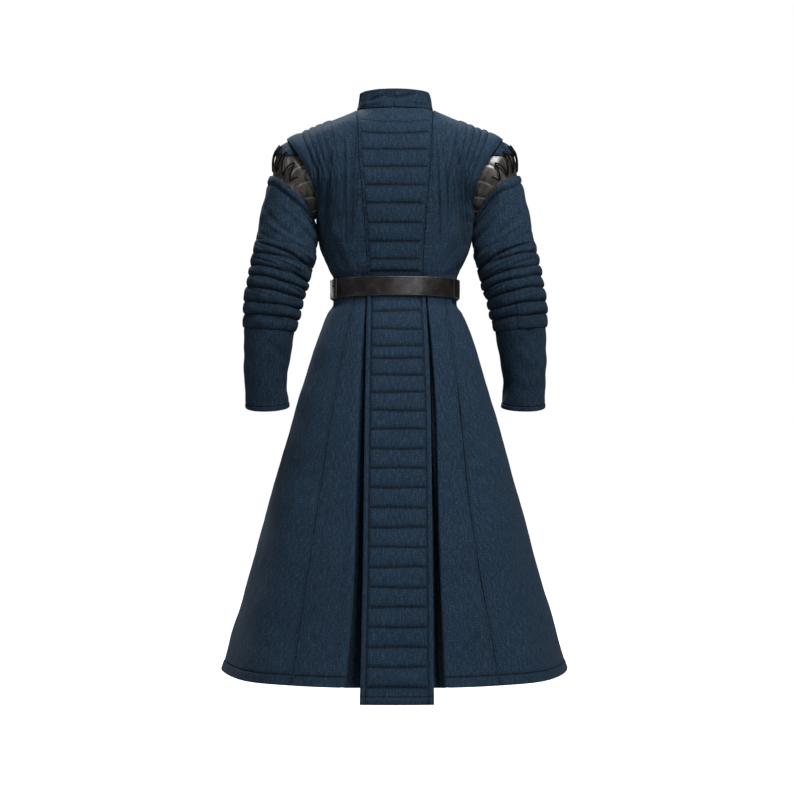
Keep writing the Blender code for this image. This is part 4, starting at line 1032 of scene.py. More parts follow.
def front_base(sign, lies_over):
    def x_at(u, level):
        half = half_at(level)
        places = (-OVERLAP_HALF, OVERLAP_IN, OVERLAP_STEP, seam_x(level), edge_x(level))
        turns = [np.arcsin(np.clip(place / half, -1, 1)) for place in places]
        shares = [0.0, 0.5 * FRONT_SHARE, 0.65 * FRONT_SHARE, FRONT_SHARE, 1.0]
        return half * np.sin(along_shares(u, shares, turns))

    def base(u, v):
        level = level_of(v)
        return mirrored(bodice_point(x_at(u, level), level, True), sign)

    def lifted(u, v):
        step = (BODICE_CLOTH + OVERLAP_CLEAR) * over_the_other(x_at(u, level_of(v)))
        return base(u, v) + normals_of(base, u, v, sign) * step[..., None]
    return lifted if lies_over else base


FRONT_EDGE_STITCH = 0.008
FRONT_CREASES = (
    (0.172, -0.200, 0.150, -0.290, 0.009, -0.0030),
    (0.182, -0.215, 0.164, -0.330, 0.008, 0.0022),
    (0.150, -0.250, 0.118, -0.352, 0.012, -0.0022),
    (0.128, -0.240, 0.088, -0.360, 0.015, 0.0020),
    (0.140, -0.340, 0.085, -0.392, 0.010, -0.0020),
    (0.095, -0.150, 0.060, -0.300, 0.020, 0.0016),
    (0.075, -0.300, 0.048, -0.392, 0.012, -0.0016),
)


def front_relief(sign):
    def raised(u, v, points):
        x, z = sign * points[..., 0], points[..., 2]
        inner_u = (u - FRONT_SHARE) / (1 - FRONT_SHARE)
        height, painted_shade = channel_relief(inner_u, v)
        on = smooth(0.0, 0.02, inner_u)
        height, painted_shade = height * on, painted_shade * on
        height = height + 0.8 * underarm_wrinkles(x, z, 31 + sign) * smooth(-0.40, -0.30, z)
        free = smooth(0.02, 0.06, x)
        height += creases(x, z, FRONT_CREASES) * free + uneven(points, 0.05, 0.0007, 41 + sign) * free
        edge, armhole = from_border(points, 0), from_border(points, 1)
        height += rounded(edge, EDGE_RADIUS) + rounded(armhole, EDGE_RADIUS) + underarm_fullness(armhole, z)
        stitch = bell(edge, 0.0014, FRONT_EDGE_STITCH)
        bound = bell(armhole, 0.0013, ARMHOLE_STITCH) * smooth(-0.25, -0.21, z)
        height -= 0.0005 * (stitch + bound)
        # painted shade in the channel lines and along the stitches of the front edge and the armhole
        return with_painted_shade(height, 0.5 * painted_shade + 0.45 * (stitch + bound))
    return raised


for side, sign in SIDES:
    panel(f"front_{side}", front_base(sign, side == "right"), steps_along(0.29, 0.0026),
          steps_along(0.50, 0.0034), BODICE_CLOTH, sign, front_relief(sign))

# %% [markdown]
# ## Collar
# A stand collar of the same padded cloth, seamed at the centre back and open at the front. It is worn
# in: a soft crease runs round its middle, it folds a little at each side, and its top edge waves.

# %% Collar
def collar_base(u, v):
    turn = np.radians(mix(-180 + COLLAR_OPENING, 180 - COLLAR_OPENING, u))
    across, along = np.sin(turn), np.cos(turn)
    behind = along > 0
    half, back, front, z_back, z_side, z_front = COLLAR_TOP
    low_x = 0.985 * NECK_HALF * across
    over = COLLAR_OVER_SEAM + np.where(behind, 0.0, 0.0055 * (1 - smooth(0.04, 0.07, np.abs(low_x))))
    low_z = np.where(behind, neck_z(low_x, False), neck_z(low_x, True)) + over
    low = points_of(low_x, along * np.where(behind, NECK_BACK + 0.0015, NECK_FRONT + 0.001), low_z)
    rise = z_side + np.where(behind, (z_back - z_side) * along, (z_front - z_side) * np.abs(along) ** 1.5)
    top = points_of(half * across, along * np.where(behind, back, front), rise)
    return mix(low, top, v[..., None])


# run round the collar from its middle behind, height, at each end, width and height of the crease
COLLAR_CREASES = (
    (-0.052, 0.034, -0.006, 0.023, 0.0042, -0.0028),
    (-0.006, 0.023, 0.022, 0.030, 0.0040, -0.0024),
    (0.022, 0.030, 0.064, 0.017, 0.0044, -0.0028),
    (-0.090, 0.014, -0.040, 0.017, 0.0050, 0.0016),
    (0.030, 0.014, 0.088, 0.010, 0.0050, 0.0014),
    (-0.112, 0.040, -0.088, 0.008, 0.0050, -0.0026),
    (0.090, 0.040, 0.112, 0.010, 0.0050, -0.0026),
    (-0.150, 0.036, -0.128, 0.004, 0.0060, 0.0020),
    (0.128, 0.036, 0.152, 0.006, 0.0060, 0.0020),
    (-0.200, 0.020, -0.165, 0.012, 0.0050, -0.0020),
    (0.170, 0.016, 0.205, 0.022, 0.0050, -0.0020),
)


COLLAR_STITCHES = (0.005, 0.006)    # metres from its foot and from its top edge


def collar_relief(u, v, points):
    run, up = lengths(points, 1), lengths(points, 0)
    run = run - run[:, run.shape[1] // 2][:, None]
    folds = 1.3 * creases(run, up, COLLAR_CREASES)
    height = folds + uneven(points, 0.04, 0.0006, 51)
    top, foot = from_border(points, 3), from_border(points, 2)
    ends = np.minimum(from_border(points, 0), from_border(points, 1))
    height += rounded(top, 0.0021) + rounded(ends, 0.002) + rounded(foot, EDGE_RADIUS)
    seam = bell(run, 0.0013)
    stitch = bell(top, 0.0012, 0.0058)
    height -= 0.0007 * seam + 0.0003 * stitch
    # painted shade in the seam, at the foot, along the stitches and in the folds' troughs; the whole collar
    # is darkened by 0.6 of the painted shade tone
    dark = 0.5 * seam + 0.7 * bell(foot, 0.0022) + 0.3 * stitch + 0.6 * PAINTED_SHADE_TONE
    dark = np.maximum(dark, 0.5 * np.clip(-folds / 0.0030, 0, 1))
    return with_painted_shade(height, dark)


panel("collar", collar_base, steps_along(0.53, 0.0022), steps_along(0.052, 0.0018), COLLAR_CLOTH, -1,
      collar_relief, back_off=(False,) * 4)

# %% [markdown]
# ## Arms: leather band, under-cap, sleeve
# The arm is built on closed rings: two round the armhole, one at the sleeve's head, and twelve down
# the sleeve. One smooth surface runs through them. The leather band fills the gap between the flange
# and the sleeve's bound head, so that the sleeve can be raised.

# %% Arm surface
def station_ring(stations):
    """A closed ring through five stations and their mirror images in front."""
    half = [np.array(p) for p in stations]
    ring = half + [p * np.array([1, -FRONT_OF_ARM, 1]) for p in half[3:0:-1]]

    def at(turn):
        place = (turn % 1.0) * 8
        i = np.floor(place).astype(int)
        f = (place - i)[..., None]
        table = np.array(ring)
        a, b, c, d = (table[(i + k) % 8] for k in (-1, 0, 1, 2))
        return 0.5 * (2 * b + (c - a) * f + (2 * a - 5 * b + 4 * c - d) * f ** 2
                      + (3 * b - 3 * c + d - a) * f ** 3)
    return at


def sleeve_ring(outer_x, outer_z, inner_x, inner_z, middle_y, half_depth, rise):
    def at(turn):
        way = 2 * pi * turn
        share = (1 + np.cos(way)) / 2
        return points_of(mix(inner_x, outer_x, share), middle_y + half_depth * np.sin(way),
                         mix(inner_z, outer_z, share) + rise * np.sin(way))
    return at


def through(knots, points, at):
    """A smooth line through grids of points at uneven knots."""
    knots = np.array(knots, float)
    points = np.array(points)
    count = len(knots)
    steps = np.diff(knots)
    slopes = np.diff(points, axis=0) / steps.reshape(-1, *([1] * (points.ndim - 1)))
    bends = np.empty_like(points)
    bends[0], bends[-1] = slopes[0], slopes[-1]
    for k in range(1, count - 1):
        bends[k] = (slopes[k - 1] * steps[k] + slopes[k] * steps[k - 1]) / (steps[k - 1] + steps[k])
    at = np.clip(at, knots[0], knots[-1])
    i = np.clip(np.searchsorted(knots, at, "right") - 1, 0, count - 2)
    f = ((at - knots[i]) / steps[i])[..., None]
    span = steps[i][..., None]

    def pick(values, index):
        return np.take_along_axis(values, index[None, ..., None], axis=0)[0]

    return (pick(points, i) * ((1 + 2 * f) * (1 - f) ** 2) + pick(bends, i) * (f * (1 - f) ** 2 * span)
            + pick(points, i + 1) * (f * f * (3 - 2 * f)) - pick(bends, i + 1) * (f * f * (1 - f) * span))


RINGS = [station_ring(SLEEVE_HEAD)] + [sleeve_ring(*row) for row in SLEEVE_RINGS]
RING_KNOTS = [0.0]
for before, after in zip(RINGS, RINGS[1:]):
    quarters = np.array([0.0, 0.25, 0.5, 0.75])
    RING_KNOTS.append(RING_KNOTS[-1] + np.linalg.norm(after(quarters).mean(0) - before(quarters).mean(0)))


def sleeve_base(sign, first, last, drop=0.0):
    """Surface of the sleeve between two rings, u round the arm and v down it. drop lowers its back edge."""
    def base(u, v):
        start = RING_KNOTS[first] + drop * bell(u % 1.0, 0.085, 0.24)
        at = mix(start, RING_KNOTS[last], v)
        u = np.broadcast_to(u, at.shape)
        return mirrored(through(RING_KNOTS, [ring(u) for ring in RINGS], at), sign)
    return base


def band_base(sign, sleeve_normals=normals_of):
    """Base surface of the leather band: from below the flange down into the sleeve's head."""
    in_sleeve = sleeve_base(1, 0, ELBOW_FROM)

    def base(u, v):
        turn = u % 1.0
        rings = [station_ring(BAND_TOP)(turn), station_ring(BAND_MIDDLE)(turn)]
        for at in (0.0, BAND_TUCK):
            level = np.full_like(turn, at)
            inward = sleeve_normals(in_sleeve, turn, level, -1)
            rings.append(in_sleeve(turn, level) - inward * (BODICE_CLOTH + BAND_IN_SLEEVE))
        return mirrored(through((0.0, 0.38, 0.82, 1.0), rings, v), sign)
    return base


print("sleeve:", round(RING_KNOTS[-1], 3), "m from its head to the cuff")

# %% [markdown]
# ## Leather shoulder bands
# Fourteen plates of stiff leather go round the armhole, each lapping over the next, with a painted
# shadow line at every lap and paler edges, which are painted highlight as well as rubbed wear. A row
# of eyelets takes the lace.

# %% Shoulder bands
def band_relief(u, v, points):
    step = (u * BAND_PLATES) % 1.0
    on = 1 - smooth(0.6, 0.75, v)
    lift = BAND_STEP * (1 - step) * on
    plate = lengths(points, 1).max() / BAND_PLATES
    crown = 0.0009 * np.sin(pi * step) ** 0.7 * on
    # painted shadow along each plate's lap
    dark = bell(np.minimum(step, 1 - step) * plate, 0.0017) * on
    edge = bell(step * plate, 0.0018, 0.003) * on
    top = from_border(points, 2)
    across = v + 0.03 * np.sin(u * 44)
    bent = sum(h * bell(across, 0.035, at) for at, h in ((0.22, -0.0011), (0.36, 0.0012),
                                                                     (0.50, -0.0010)))
    bent = bent * (0.6 + 0.6 * np.sin(u * 2 * pi * 3.3 + 1)) * on
    height = lift + crown + bent - 0.0012 * dark + uneven(points, 0.018, 0.0005, 61)
    height = np.minimum(height, BAND_STEP + 0.0001) + rounded(top, 0.0014)
    # paler edges of the plates and along the top: rubbed wear, and painted highlight as well
    paler_tone = np.clip(edge + 0.7 * bell(top, 0.002), 0, 1)
    return height, {"edge": paler_tone, "painted_shade": dark}


def turns(length, spacing, count_of=1):
    """Even values round a tube, a multiple of count_of, and 1 at the end."""
    count = int(np.ceil(length / spacing / count_of)) * count_of
    return np.linspace(0.0, 1.0, count + 1)


for side, sign in SIDES:
    panel(f"shoulder_band_{side}", band_base(sign, tube_normals), turns(0.43, 0.0021, BAND_PLATES * 4),
          steps_along(0.10, 0.0022, (True, False)), BAND_LEATHER, -sign, band_relief,
          surface=PLATE_LEATHER, within=PLATE_LEATHER, back_off=(False,) * 4, closed=True,
          name=f"shoulder_band_{side}_plates")

# %% [markdown]
# ## Under-caps
# A narrow cap of the same wool lies over the top of the band, below the flange. Its edge is where
# the lace pulls, so it puckers between the holes.

# %% Under-caps
def cap_base(sign):
    band = band_base(sign)

    def base(u, v):
        turn = mix(-CAP_REACH, CAP_REACH, u)
        reach = mix(CAP_LOW_V, CAP_END_V, np.abs(2 * u - 1) ** 1.5)
        past = np.clip((np.abs(2 * u - 1) - 0.78) / 0.22, 0, 1)
        reach = mix(CAP_HIGH_V + 0.02, reach, np.sqrt(1 - 0.96 * past ** 2))
        down = mix(CAP_HIGH_V, reach, v)
        out = tube_normals(band, turn % 1.0, down, -sign)
        return band(turn, down) + out * (BAND_STEP + CAP_CLEAR + CAP_CLOTH)
    return base


def cap_relief(u, v, points):
    edges = np.minimum(np.minimum(from_border(points, 0), from_border(points, 1)),
                       np.minimum(from_border(points, 2), from_border(points, 3)))
    low = from_border(points, 3)
    turn = mix(-CAP_REACH, CAP_REACH, u) * 360
    pulled = np.cos(2 * pi * turn / LACE_STEP) * smooth(0.2, 1.0, v)
    stitch = bell(low, 0.001, 0.005)
    height = rounded(edges, 0.0012) + uneven(points, 0.02, 0.0005, 71) + 0.0015 * pulled - 0.0003 * stitch
    # painted shade: darker under the flange at the top, in the puckers' troughs, along the stitches and all
    # over the cap
    dark = 0.5 * stitch + 0.7 * smooth(0.6, 0.0, v) + 0.7 * np.clip(-pulled, 0, 1) + 0.25
    return with_painted_shade(height, dark)


for side, sign in SIDES:
    panel(f"under_cap_{side}", cap_base(sign), steps_along(0.17, 0.0024), steps_along(0.035, 0.0022),
          CAP_CLOTH, -sign, cap_relief, back_off=(False,) * 4)

# %% [markdown]
# ## Sleeves
# The upper sleeve is a plain padded tube with a bound head: a turned band about 20 mm deep with a
# groove below it. From above the elbow seven stuffed rolls go round the arm, each pinched by a row of
# stitches, the top ones drawn into slanting wrinkles where the sleeve bends. Below them the sleeve is
# plain down to a stitched hem.

# %% Upper sleeves
UPPER_GIRTH, ELBOW_GIRTH, LOWER_GIRTH = 0.44, 0.43, 0.37    # metres round each part
SLEEVE_SEAM = 0.27         # turn at which the sleeve's long seam runs
HEAD_BINDING = 0.016       # the groove below the binding is 1.07 to 1.43 times as far from the head
BINDING_STITCH = 0.0035    # metres from the sleeve's head to the stitches of its binding
HEAD_DROP = {"left": 0.010, "right": 0.0}       # the left head has slipped down a little behind
SLEEVE_FULL = {1: 0.0050, -1: 0.0055}           # how far each sleeve stands out towards the bodice

# turn round the arm (0 outside, 0.25 behind, 0.5 towards the body), share down, at each end, width, height
UPPER_CREASES = (
    (0.30, 0.22, 0.47, 0.50, 0.030, -0.0030),
    (0.20, 0.30, 0.43, 0.66, 0.032, 0.0024),
    (0.08, 0.50, 0.30, 0.86, 0.030, -0.0022),
    (0.33, 0.62, 0.49, 0.90, 0.028, -0.0026),
    (0.14, 0.72, 0.34, 0.97, 0.026, 0.0024),
    (0.02, 0.82, 0.18, 0.99, 0.024, -0.0018),
    (0.72, 0.24, 0.54, 0.52, 0.030, -0.0030),
    (0.80, 0.34, 0.60, 0.70, 0.032, 0.0022),
    (0.90, 0.55, 0.70, 0.90, 0.030, -0.0020),
    (0.66, 0.66, 0.52, 0.92, 0.028, -0.0024),
)


def upper_relief(sign):
    def raised(u, v, points):
        down = from_border(points, 2)
        behind = 0.45 + 0.55 * bell(np.abs(u - 0.5), 0.13, 0.20)
        valley_at = HEAD_BINDING * (1.25 + 0.18 * np.sin(2 * pi * (3 * u + 0.2 * sign)))
        valley = bell(down, 0.0058, valley_at) * behind
        line = bell(down, 0.0020, valley_at)
        edge = bell(down, 0.0009, BINDING_STITCH)
        binding = 0.0022 * np.sin(pi * np.clip(down / valley_at, 0, 1)) ** 0.6
        height = binding - 0.0034 * valley - 0.0006 * line - 0.0004 * edge + rounded(down, 0.0024)
        bend = creases(u, v, UPPER_CREASES)
        height = height + bend + uneven(points, 0.05, 0.0010, 81 + sign)
        height = height + puckers(u * UPPER_GIRTH, np.abs(down - valley_at), 83 + sign, 0.0007, 0.010)
        inward = bell(u, 0.10, 0.5) * smooth(0.004, 0.020, down) * smooth(0.98, 0.62, v)
        height = height + SLEEVE_FULL[sign] * inward
        seam = bell((u - SLEEVE_SEAM) * UPPER_GIRTH, 0.0014) * smooth(HEAD_BINDING, 0.02, down)
        foot = from_border(points, 3)
        foot_line = 0.25 * bell(foot, 0.002)
        # painted shade in the valley below the binding, stronger behind, along the stitches, the seam and the
        # foot, and in the creases' troughs
        dark = np.maximum(0.62 * valley, 0.75 * line * behind) + 0.3 * edge + 0.3 * seam + foot_line
        dark = np.maximum(dark, np.clip(-bend / 0.0045, 0, 1) * 0.35)
        return with_painted_shade(height - 0.0006 * seam, dark)
    return raised


# how full each roll is, from the top one down: the first is drawn out and the last one runs out
ROLL_FULLNESS = (0.62, 0.85, 1.0, 1.0, 1.02, 0.95, 0.62)

# turn and share down at each end, width, height: the folds that cross the upper rolls
ELBOW_CREASES = (
    (0.10, 0.045, 0.30, 0.120, 0.016, -0.0046), (0.26, 0.100, 0.47, 0.215, 0.018, -0.0050),
    (0.14, 0.150, 0.27, 0.205, 0.014, -0.0030), (0.20, 0.190, 0.38, 0.250, 0.013, 0.0034),
    (0.36, 0.060, 0.48, 0.110, 0.018, 0.0036), (0.08, 0.245, 0.24, 0.285, 0.012, -0.0026),
    (0.30, 0.300, 0.47, 0.355, 0.013, -0.0030), (0.05, 0.100, 0.16, 0.160, 0.014, 0.0026),
    (0.28, 0.460, 0.45, 0.520, 0.013, -0.0026), (0.10, 0.600, 0.26, 0.640, 0.013, -0.0020),
    (0.90, 0.050, 0.70, 0.130, 0.016, -0.0040), (0.76, 0.120, 0.55, 0.230, 0.018, -0.0040),
    (0.84, 0.300, 0.64, 0.350, 0.013, -0.0026), (0.70, 0.440, 0.56, 0.500, 0.013, -0.0022),
)


def elbow_relief(sign):
    span = RING_KNOTS[ELBOW_TO] - RING_KNOTS[ELBOW_FROM]
    lines = np.array([(knot - RING_KNOTS[ELBOW_FROM]) / span for knot in RING_KNOTS[ELBOW_FROM:ELBOW_TO + 1]])

    def raised(u, v, points):
        local = lengths(points, 0)[-1][None, :]
        ends = smooth(0.0, 0.05, v) * smooth(1.0, 0.95, v)
        bowed = v + ends * (0.0045 * np.sin(2 * pi * (2 * u + 1.7 * v) + sign)
                            + 0.0035 * np.sin(2 * pi * (5 * u - 2.3 * v) + 2 * sign))
        away = nearest_line(bowed, lines) * local
        which = np.clip(np.searchsorted(lines, bowed, "right") - 1, 0, len(lines) - 2)
        full = np.array(ROLL_FULLNESS)[which]
        lift = pillow(bowed, lines, ROLL_PUFF, 0.52) * full
        lift = lift * (1 + 0.13 * np.sin(2 * pi * (u * 2 + v * 1.3))
                       + 0.10 * np.sin(2 * pi * (u * 5 - v * 3)))
        ripple = puckers(u * ELBOW_GIRTH, away, 91 + sign, 0.0014, 0.008)
        slant = creases(u, v, ELBOW_CREASES)
        strong = smooth(0.0, 0.10, v) * (0.45 + 0.55 * smooth(1.0, 0.9, v))
        line = bell(away, 0.0022) * strong
        shade = 0.45 * bell(away, 0.0060) * strong
        folded = np.clip(-slant / 0.0040, 0, 1) * 0.55
        height = lift + ripple * ends + slant * smooth(0.0, 0.04, v) + uneven(points, 0.03, 0.0010, 95 + sign)
        seam = bell((u - SLEEVE_SEAM) * ELBOW_GIRTH, 0.0016)
        # painted shade in the stitched lines, at the foot of each roll, in the folds' troughs and along the
        # seam, with the forearm's painted shade tone over the whole part
        dark = np.maximum(np.maximum(0.95 * line, shade), folded)
        return with_painted_shade(height - 0.0010 * line - 0.0008 * seam, dark + 0.25 * seam + PAINTED_SHADE_TONE)
    return raised


LOWER_CREASES = (
    (0.05, 0.10, 0.20, 0.55, 0.030, -0.0020),
    (0.20, 0.05, 0.42, 0.40, 0.035, -0.0022),
    (0.15, 0.35, 0.33, 0.85, 0.040, 0.0018),
    (0.36, 0.40, 0.47, 0.86, 0.030, -0.0020),
    (0.60, 0.10, 0.80, 0.50, 0.035, -0.0022),
    (0.66, 0.50, 0.55, 0.90, 0.030, 0.0018),
    (0.90, 0.30, 0.82, 0.85, 0.035, -0.0018),
)
HEM_STITCH = 0.012         # metres from the cuff's edge


def lower_relief(sign):
    def raised(u, v, points):
        top, hem = from_border(points, 2), from_border(points, 3)
        stitch = bell(hem, 0.0015, HEM_STITCH)
        height = creases(u, v, LOWER_CREASES) + uneven(points, 0.045, 0.0009, 101 + sign)
        height += rounded(hem, 0.0026) + rounded(top, 0.0024) - 0.0009 * stitch
        height += 0.0010 * (1 - smooth(HEM_STITCH * 0.8, HEM_STITCH, hem))
        seam = bell((u - SLEEVE_SEAM) * LOWER_GIRTH, 0.0014)
        # painted shade along the hem's stitches, the seam and the top, with the forearm's painted shade tone
        # over the whole part
        dark = 0.8 * stitch + 0.3 * seam + 0.5 * bell(top, 0.002) + PAINTED_SHADE_TONE
        return with_painted_shade(height - 0.0006 * seam, dark)
    return raised


for side, sign in SIDES:
    for part, base, us, vs, relief, back_off in (
            ("upper", sleeve_base(sign, 0, ELBOW_FROM, HEAD_DROP[side]), turns(UPPER_GIRTH, 0.0026),
             steps_along(0.17, 0.0026), upper_relief, (False, True)),
            ("elbow", sleeve_base(sign, ELBOW_FROM, ELBOW_TO), turns(ELBOW_GIRTH, 0.0023),
             steps_along(0.20, 0.0020), elbow_relief, (True, True)),
            ("lower", sleeve_base(sign, ELBOW_TO, len(RINGS) - 1), turns(LOWER_GIRTH, 0.0026),
             stitched_rows(0.19, 0.0028, -HEM_STITCH), lower_relief, (True, False))):
        panel(f"sleeve_{part}_{side}", base, us, vs, BODICE_CLOTH, -sign, relief(sign), closed=True,
              back_off=(False, False) + back_off)

# %% [markdown]
# ## Skirt
# Six gores flare from the waist. The two beside the tail turn in behind it as deep folds, which open
# towards the hem, and a flat underlay joins those folds. The gores hang in slow flutes, their seams
# are pressed flat with a row of stitches beside them, and the hem is turned up about 23 mm.

# %% Skirt surface
def power_of(value, power):
    return np.abs(value) ** power * np.sign(value)


def skirt_point(degrees, z):
    """A point of the skirt's base surface: degrees from the middle of the back towards +X."""
    turn = np.radians(degrees)
    half = curve(SKIRT_LEVELS, 1, z)
    back, front = curve(SKIRT_LEVELS, 2, z), curve(SKIRT_LEVELS, 3, z)
    down = np.clip((WAIST_Z - z - 0.05) / (WAIST_Z - HEM_Z - 0.05), 0.0, 1.0)
    flute = sum(h * np.maximum(0.0, 1 - ((np.abs(degrees) - at) / wide) ** 2) ** 2 for at, wide, h in FLUTES)
    flute = flute * down ** 1.3
    across = power_of(np.sin(turn), 2 / ROUNDNESS)
    along = power_of(np.cos(turn), 2 / ROUNDNESS)
    return points_of(across * (half + flute), along * (np.where(along > 0, back, front) + flute), z)


def degrees_at(x, z):
    """Angle of the back of the skirt at x."""
    share = np.minimum(np.abs(x) / curve(SKIRT_LEVELS, 1, z), 1.0)
    return np.degrees(np.arcsin(share ** (ROUNDNESS / 2))) * np.sign(x)


def skirt_z(v):
    return mix(WAIST_Z, HEM_Z, v)


def gore_base(sign, low, high):
    def base(u, v):
        z = skirt_z(v)
        return skirt_point(sign * mix(low(z), high(z), u), z)
    return base


def back_seam(side):
    return lambda z: np.abs(degrees_at(curve(GORE_SEAMS, 1 if side == "left" else 2, z), z))


def front_seam(z):
    return curve(GORE_SEAMS, 3, z)


SKIRT_HEM_STITCH = 0.023   # metres from the hem
SEAM_STITCH = 0.0065       # metres from a seam
FRONT_STITCH = 0.009       # metres from the front edge
SOFT_FOLDS = 9             # long folds drawn on each gore
SKIRT_ROWS = stitched_rows(0.95, 0.0048, -SKIRT_HEM_STITCH)


def hem_and_seams(points, seams):
    """Height and painted shade of a gore's turned hem and of its seams, with the row of stitches beside one.
    """
    hem = from_border(points, 3)
    stitch = bell(hem, 0.0017, SKIRT_HEM_STITCH)
    for which in seams:
        stitch = stitch * smooth(0.0010, 0.0050, from_border(points, which))
    turned = 1 - smooth(SKIRT_HEM_STITCH * 0.9, SKIRT_HEM_STITCH, hem)
    height = rounded(hem, 0.0020) - 0.0012 * stitch + 0.0014 * turned
    # painted shade in the hem's stitches, just above the turned hem and along the seams
    dark = 0.8 * stitch + 0.22 * bell(hem - SKIRT_HEM_STITCH, 0.004, 0.003)
    for which in seams:
        away = from_border(points, which)
        beside = bell(away, 0.0016, SEAM_STITCH)
        height = height + rounded(away, 0.0019) - 0.0004 * beside
        dark = np.maximum(dark, np.maximum(0.65 * bell(away, 0.0020), 0.28 * beside))
    return height, dark


def hanging(points, seed):
    """Long soft folds that fall from the waist, none as deep as a flute."""
    pick = np.random.RandomState(seed)
    degrees = np.degrees(np.arctan2(np.abs(points[..., 0]), points[..., 1]))
    z = points[..., 2]
    down = smooth(-0.44, -0.80, z)
    total = 0.0 * z
    for _ in range(SOFT_FOLDS):
        at, wide = pick.uniform(10, 178), pick.uniform(1.6, 4.5)
        lean = pick.uniform(-3, 3) * (WAIST_Z - z)
        span = smooth(pick.uniform(-0.45, -0.7), pick.uniform(-0.8, -1.1), z)
        total = total + pick.choice([-1, 1]) * bell(degrees - at, wide, lean) * span
    return (0.0016 * total * down + uneven(points, 0.14, 0.0014, seed + 1) * smooth(-0.43, -0.50, z)
            + uneven(points, 0.035, 0.0003, seed + 2))


# %% Side and front gores
def side_gore_relief(sign):
    def raised(u, v, points):
        height, dark = hem_and_seams(points, (0, 1))
        height = height + hanging(points, 121 + sign)
        waist = from_border(points, 2)
        return height + rounded(waist, 0.002), {"painted_shade": dark}
    return raised


def front_gore_base(sign, lies_over):
    def base(u, v):
        z = skirt_z(v)
        edges = (OVERLAP_STEP, OVERLAP_IN, -OVERLAP_HALF)
        places = [front_seam(z)] + [180 - degrees_at(x + 0.0 * z, z) for x in edges]
        return skirt_point(sign * along_shares(u, [0.0, 0.6, 0.72, 1.0], places), z)

    def lifted(u, v):
        points = base(u, v)
        step = (SKIRT_CLOTH + OVERLAP_CLEAR) * over_the_other(sign * points[..., 0])
        return points + normals_of(base, u, v, sign) * step[..., None]
    return lifted if lies_over else base


def front_gore_relief(sign):
    def raised(u, v, points):
        height, dark = hem_and_seams(points, (0,))
        edge = from_border(points, 1)
        free = smooth(0.06, 0.12, edge)
        height = height + hanging(points, 131 + sign) * free
        stitch = bell(edge, 0.0016, FRONT_STITCH)
        height = height + rounded(edge, 0.002) - 0.0006 * stitch
        # painted shade along the front edge's stitches, added to the hem's and the seams'
        return with_painted_shade(height, np.maximum(dark, 0.5 * stitch))
    return raised


for side, sign in SIDES:
    panel(f"skirt_side_{side}", gore_base(sign, back_seam(side), front_seam),
          stitched_rows(0.46, 0.0062, SEAM_STITCH, -SEAM_STITCH),
          SKIRT_ROWS, SKIRT_CLOTH, sign, side_gore_relief(sign), back_off=(True, True, True, False))
    panel(f"skirt_front_{side}", front_gore_base(sign, side == "right"),
          stitched_rows(0.32, 0.0060, SEAM_STITCH, -FRONT_STITCH),
          SKIRT_ROWS, SKIRT_CLOTH, sign, front_gore_relief(sign), back_off=(True, False, True, False))

# %% [markdown]
# ## Back gores with their deep folds
# The edge beside the tail is a fold: the cloth turns round a soft edge and runs straight in, towards
# the underlay. The fold is made of seven columns of points and has a rounded edge, so that it reads
# as thick cloth and not as a cut edge.

# %% Back gores
FOLD_RADIUS = 0.0042                         # of the soft edge beside the tail
FOLD_LEAN = {"left": 0.0, "right": 0.009}    # the right fold lies slanting behind the tail
FOLD_HANG = 0.008                            # the inner edges of the folds hang lower by this much


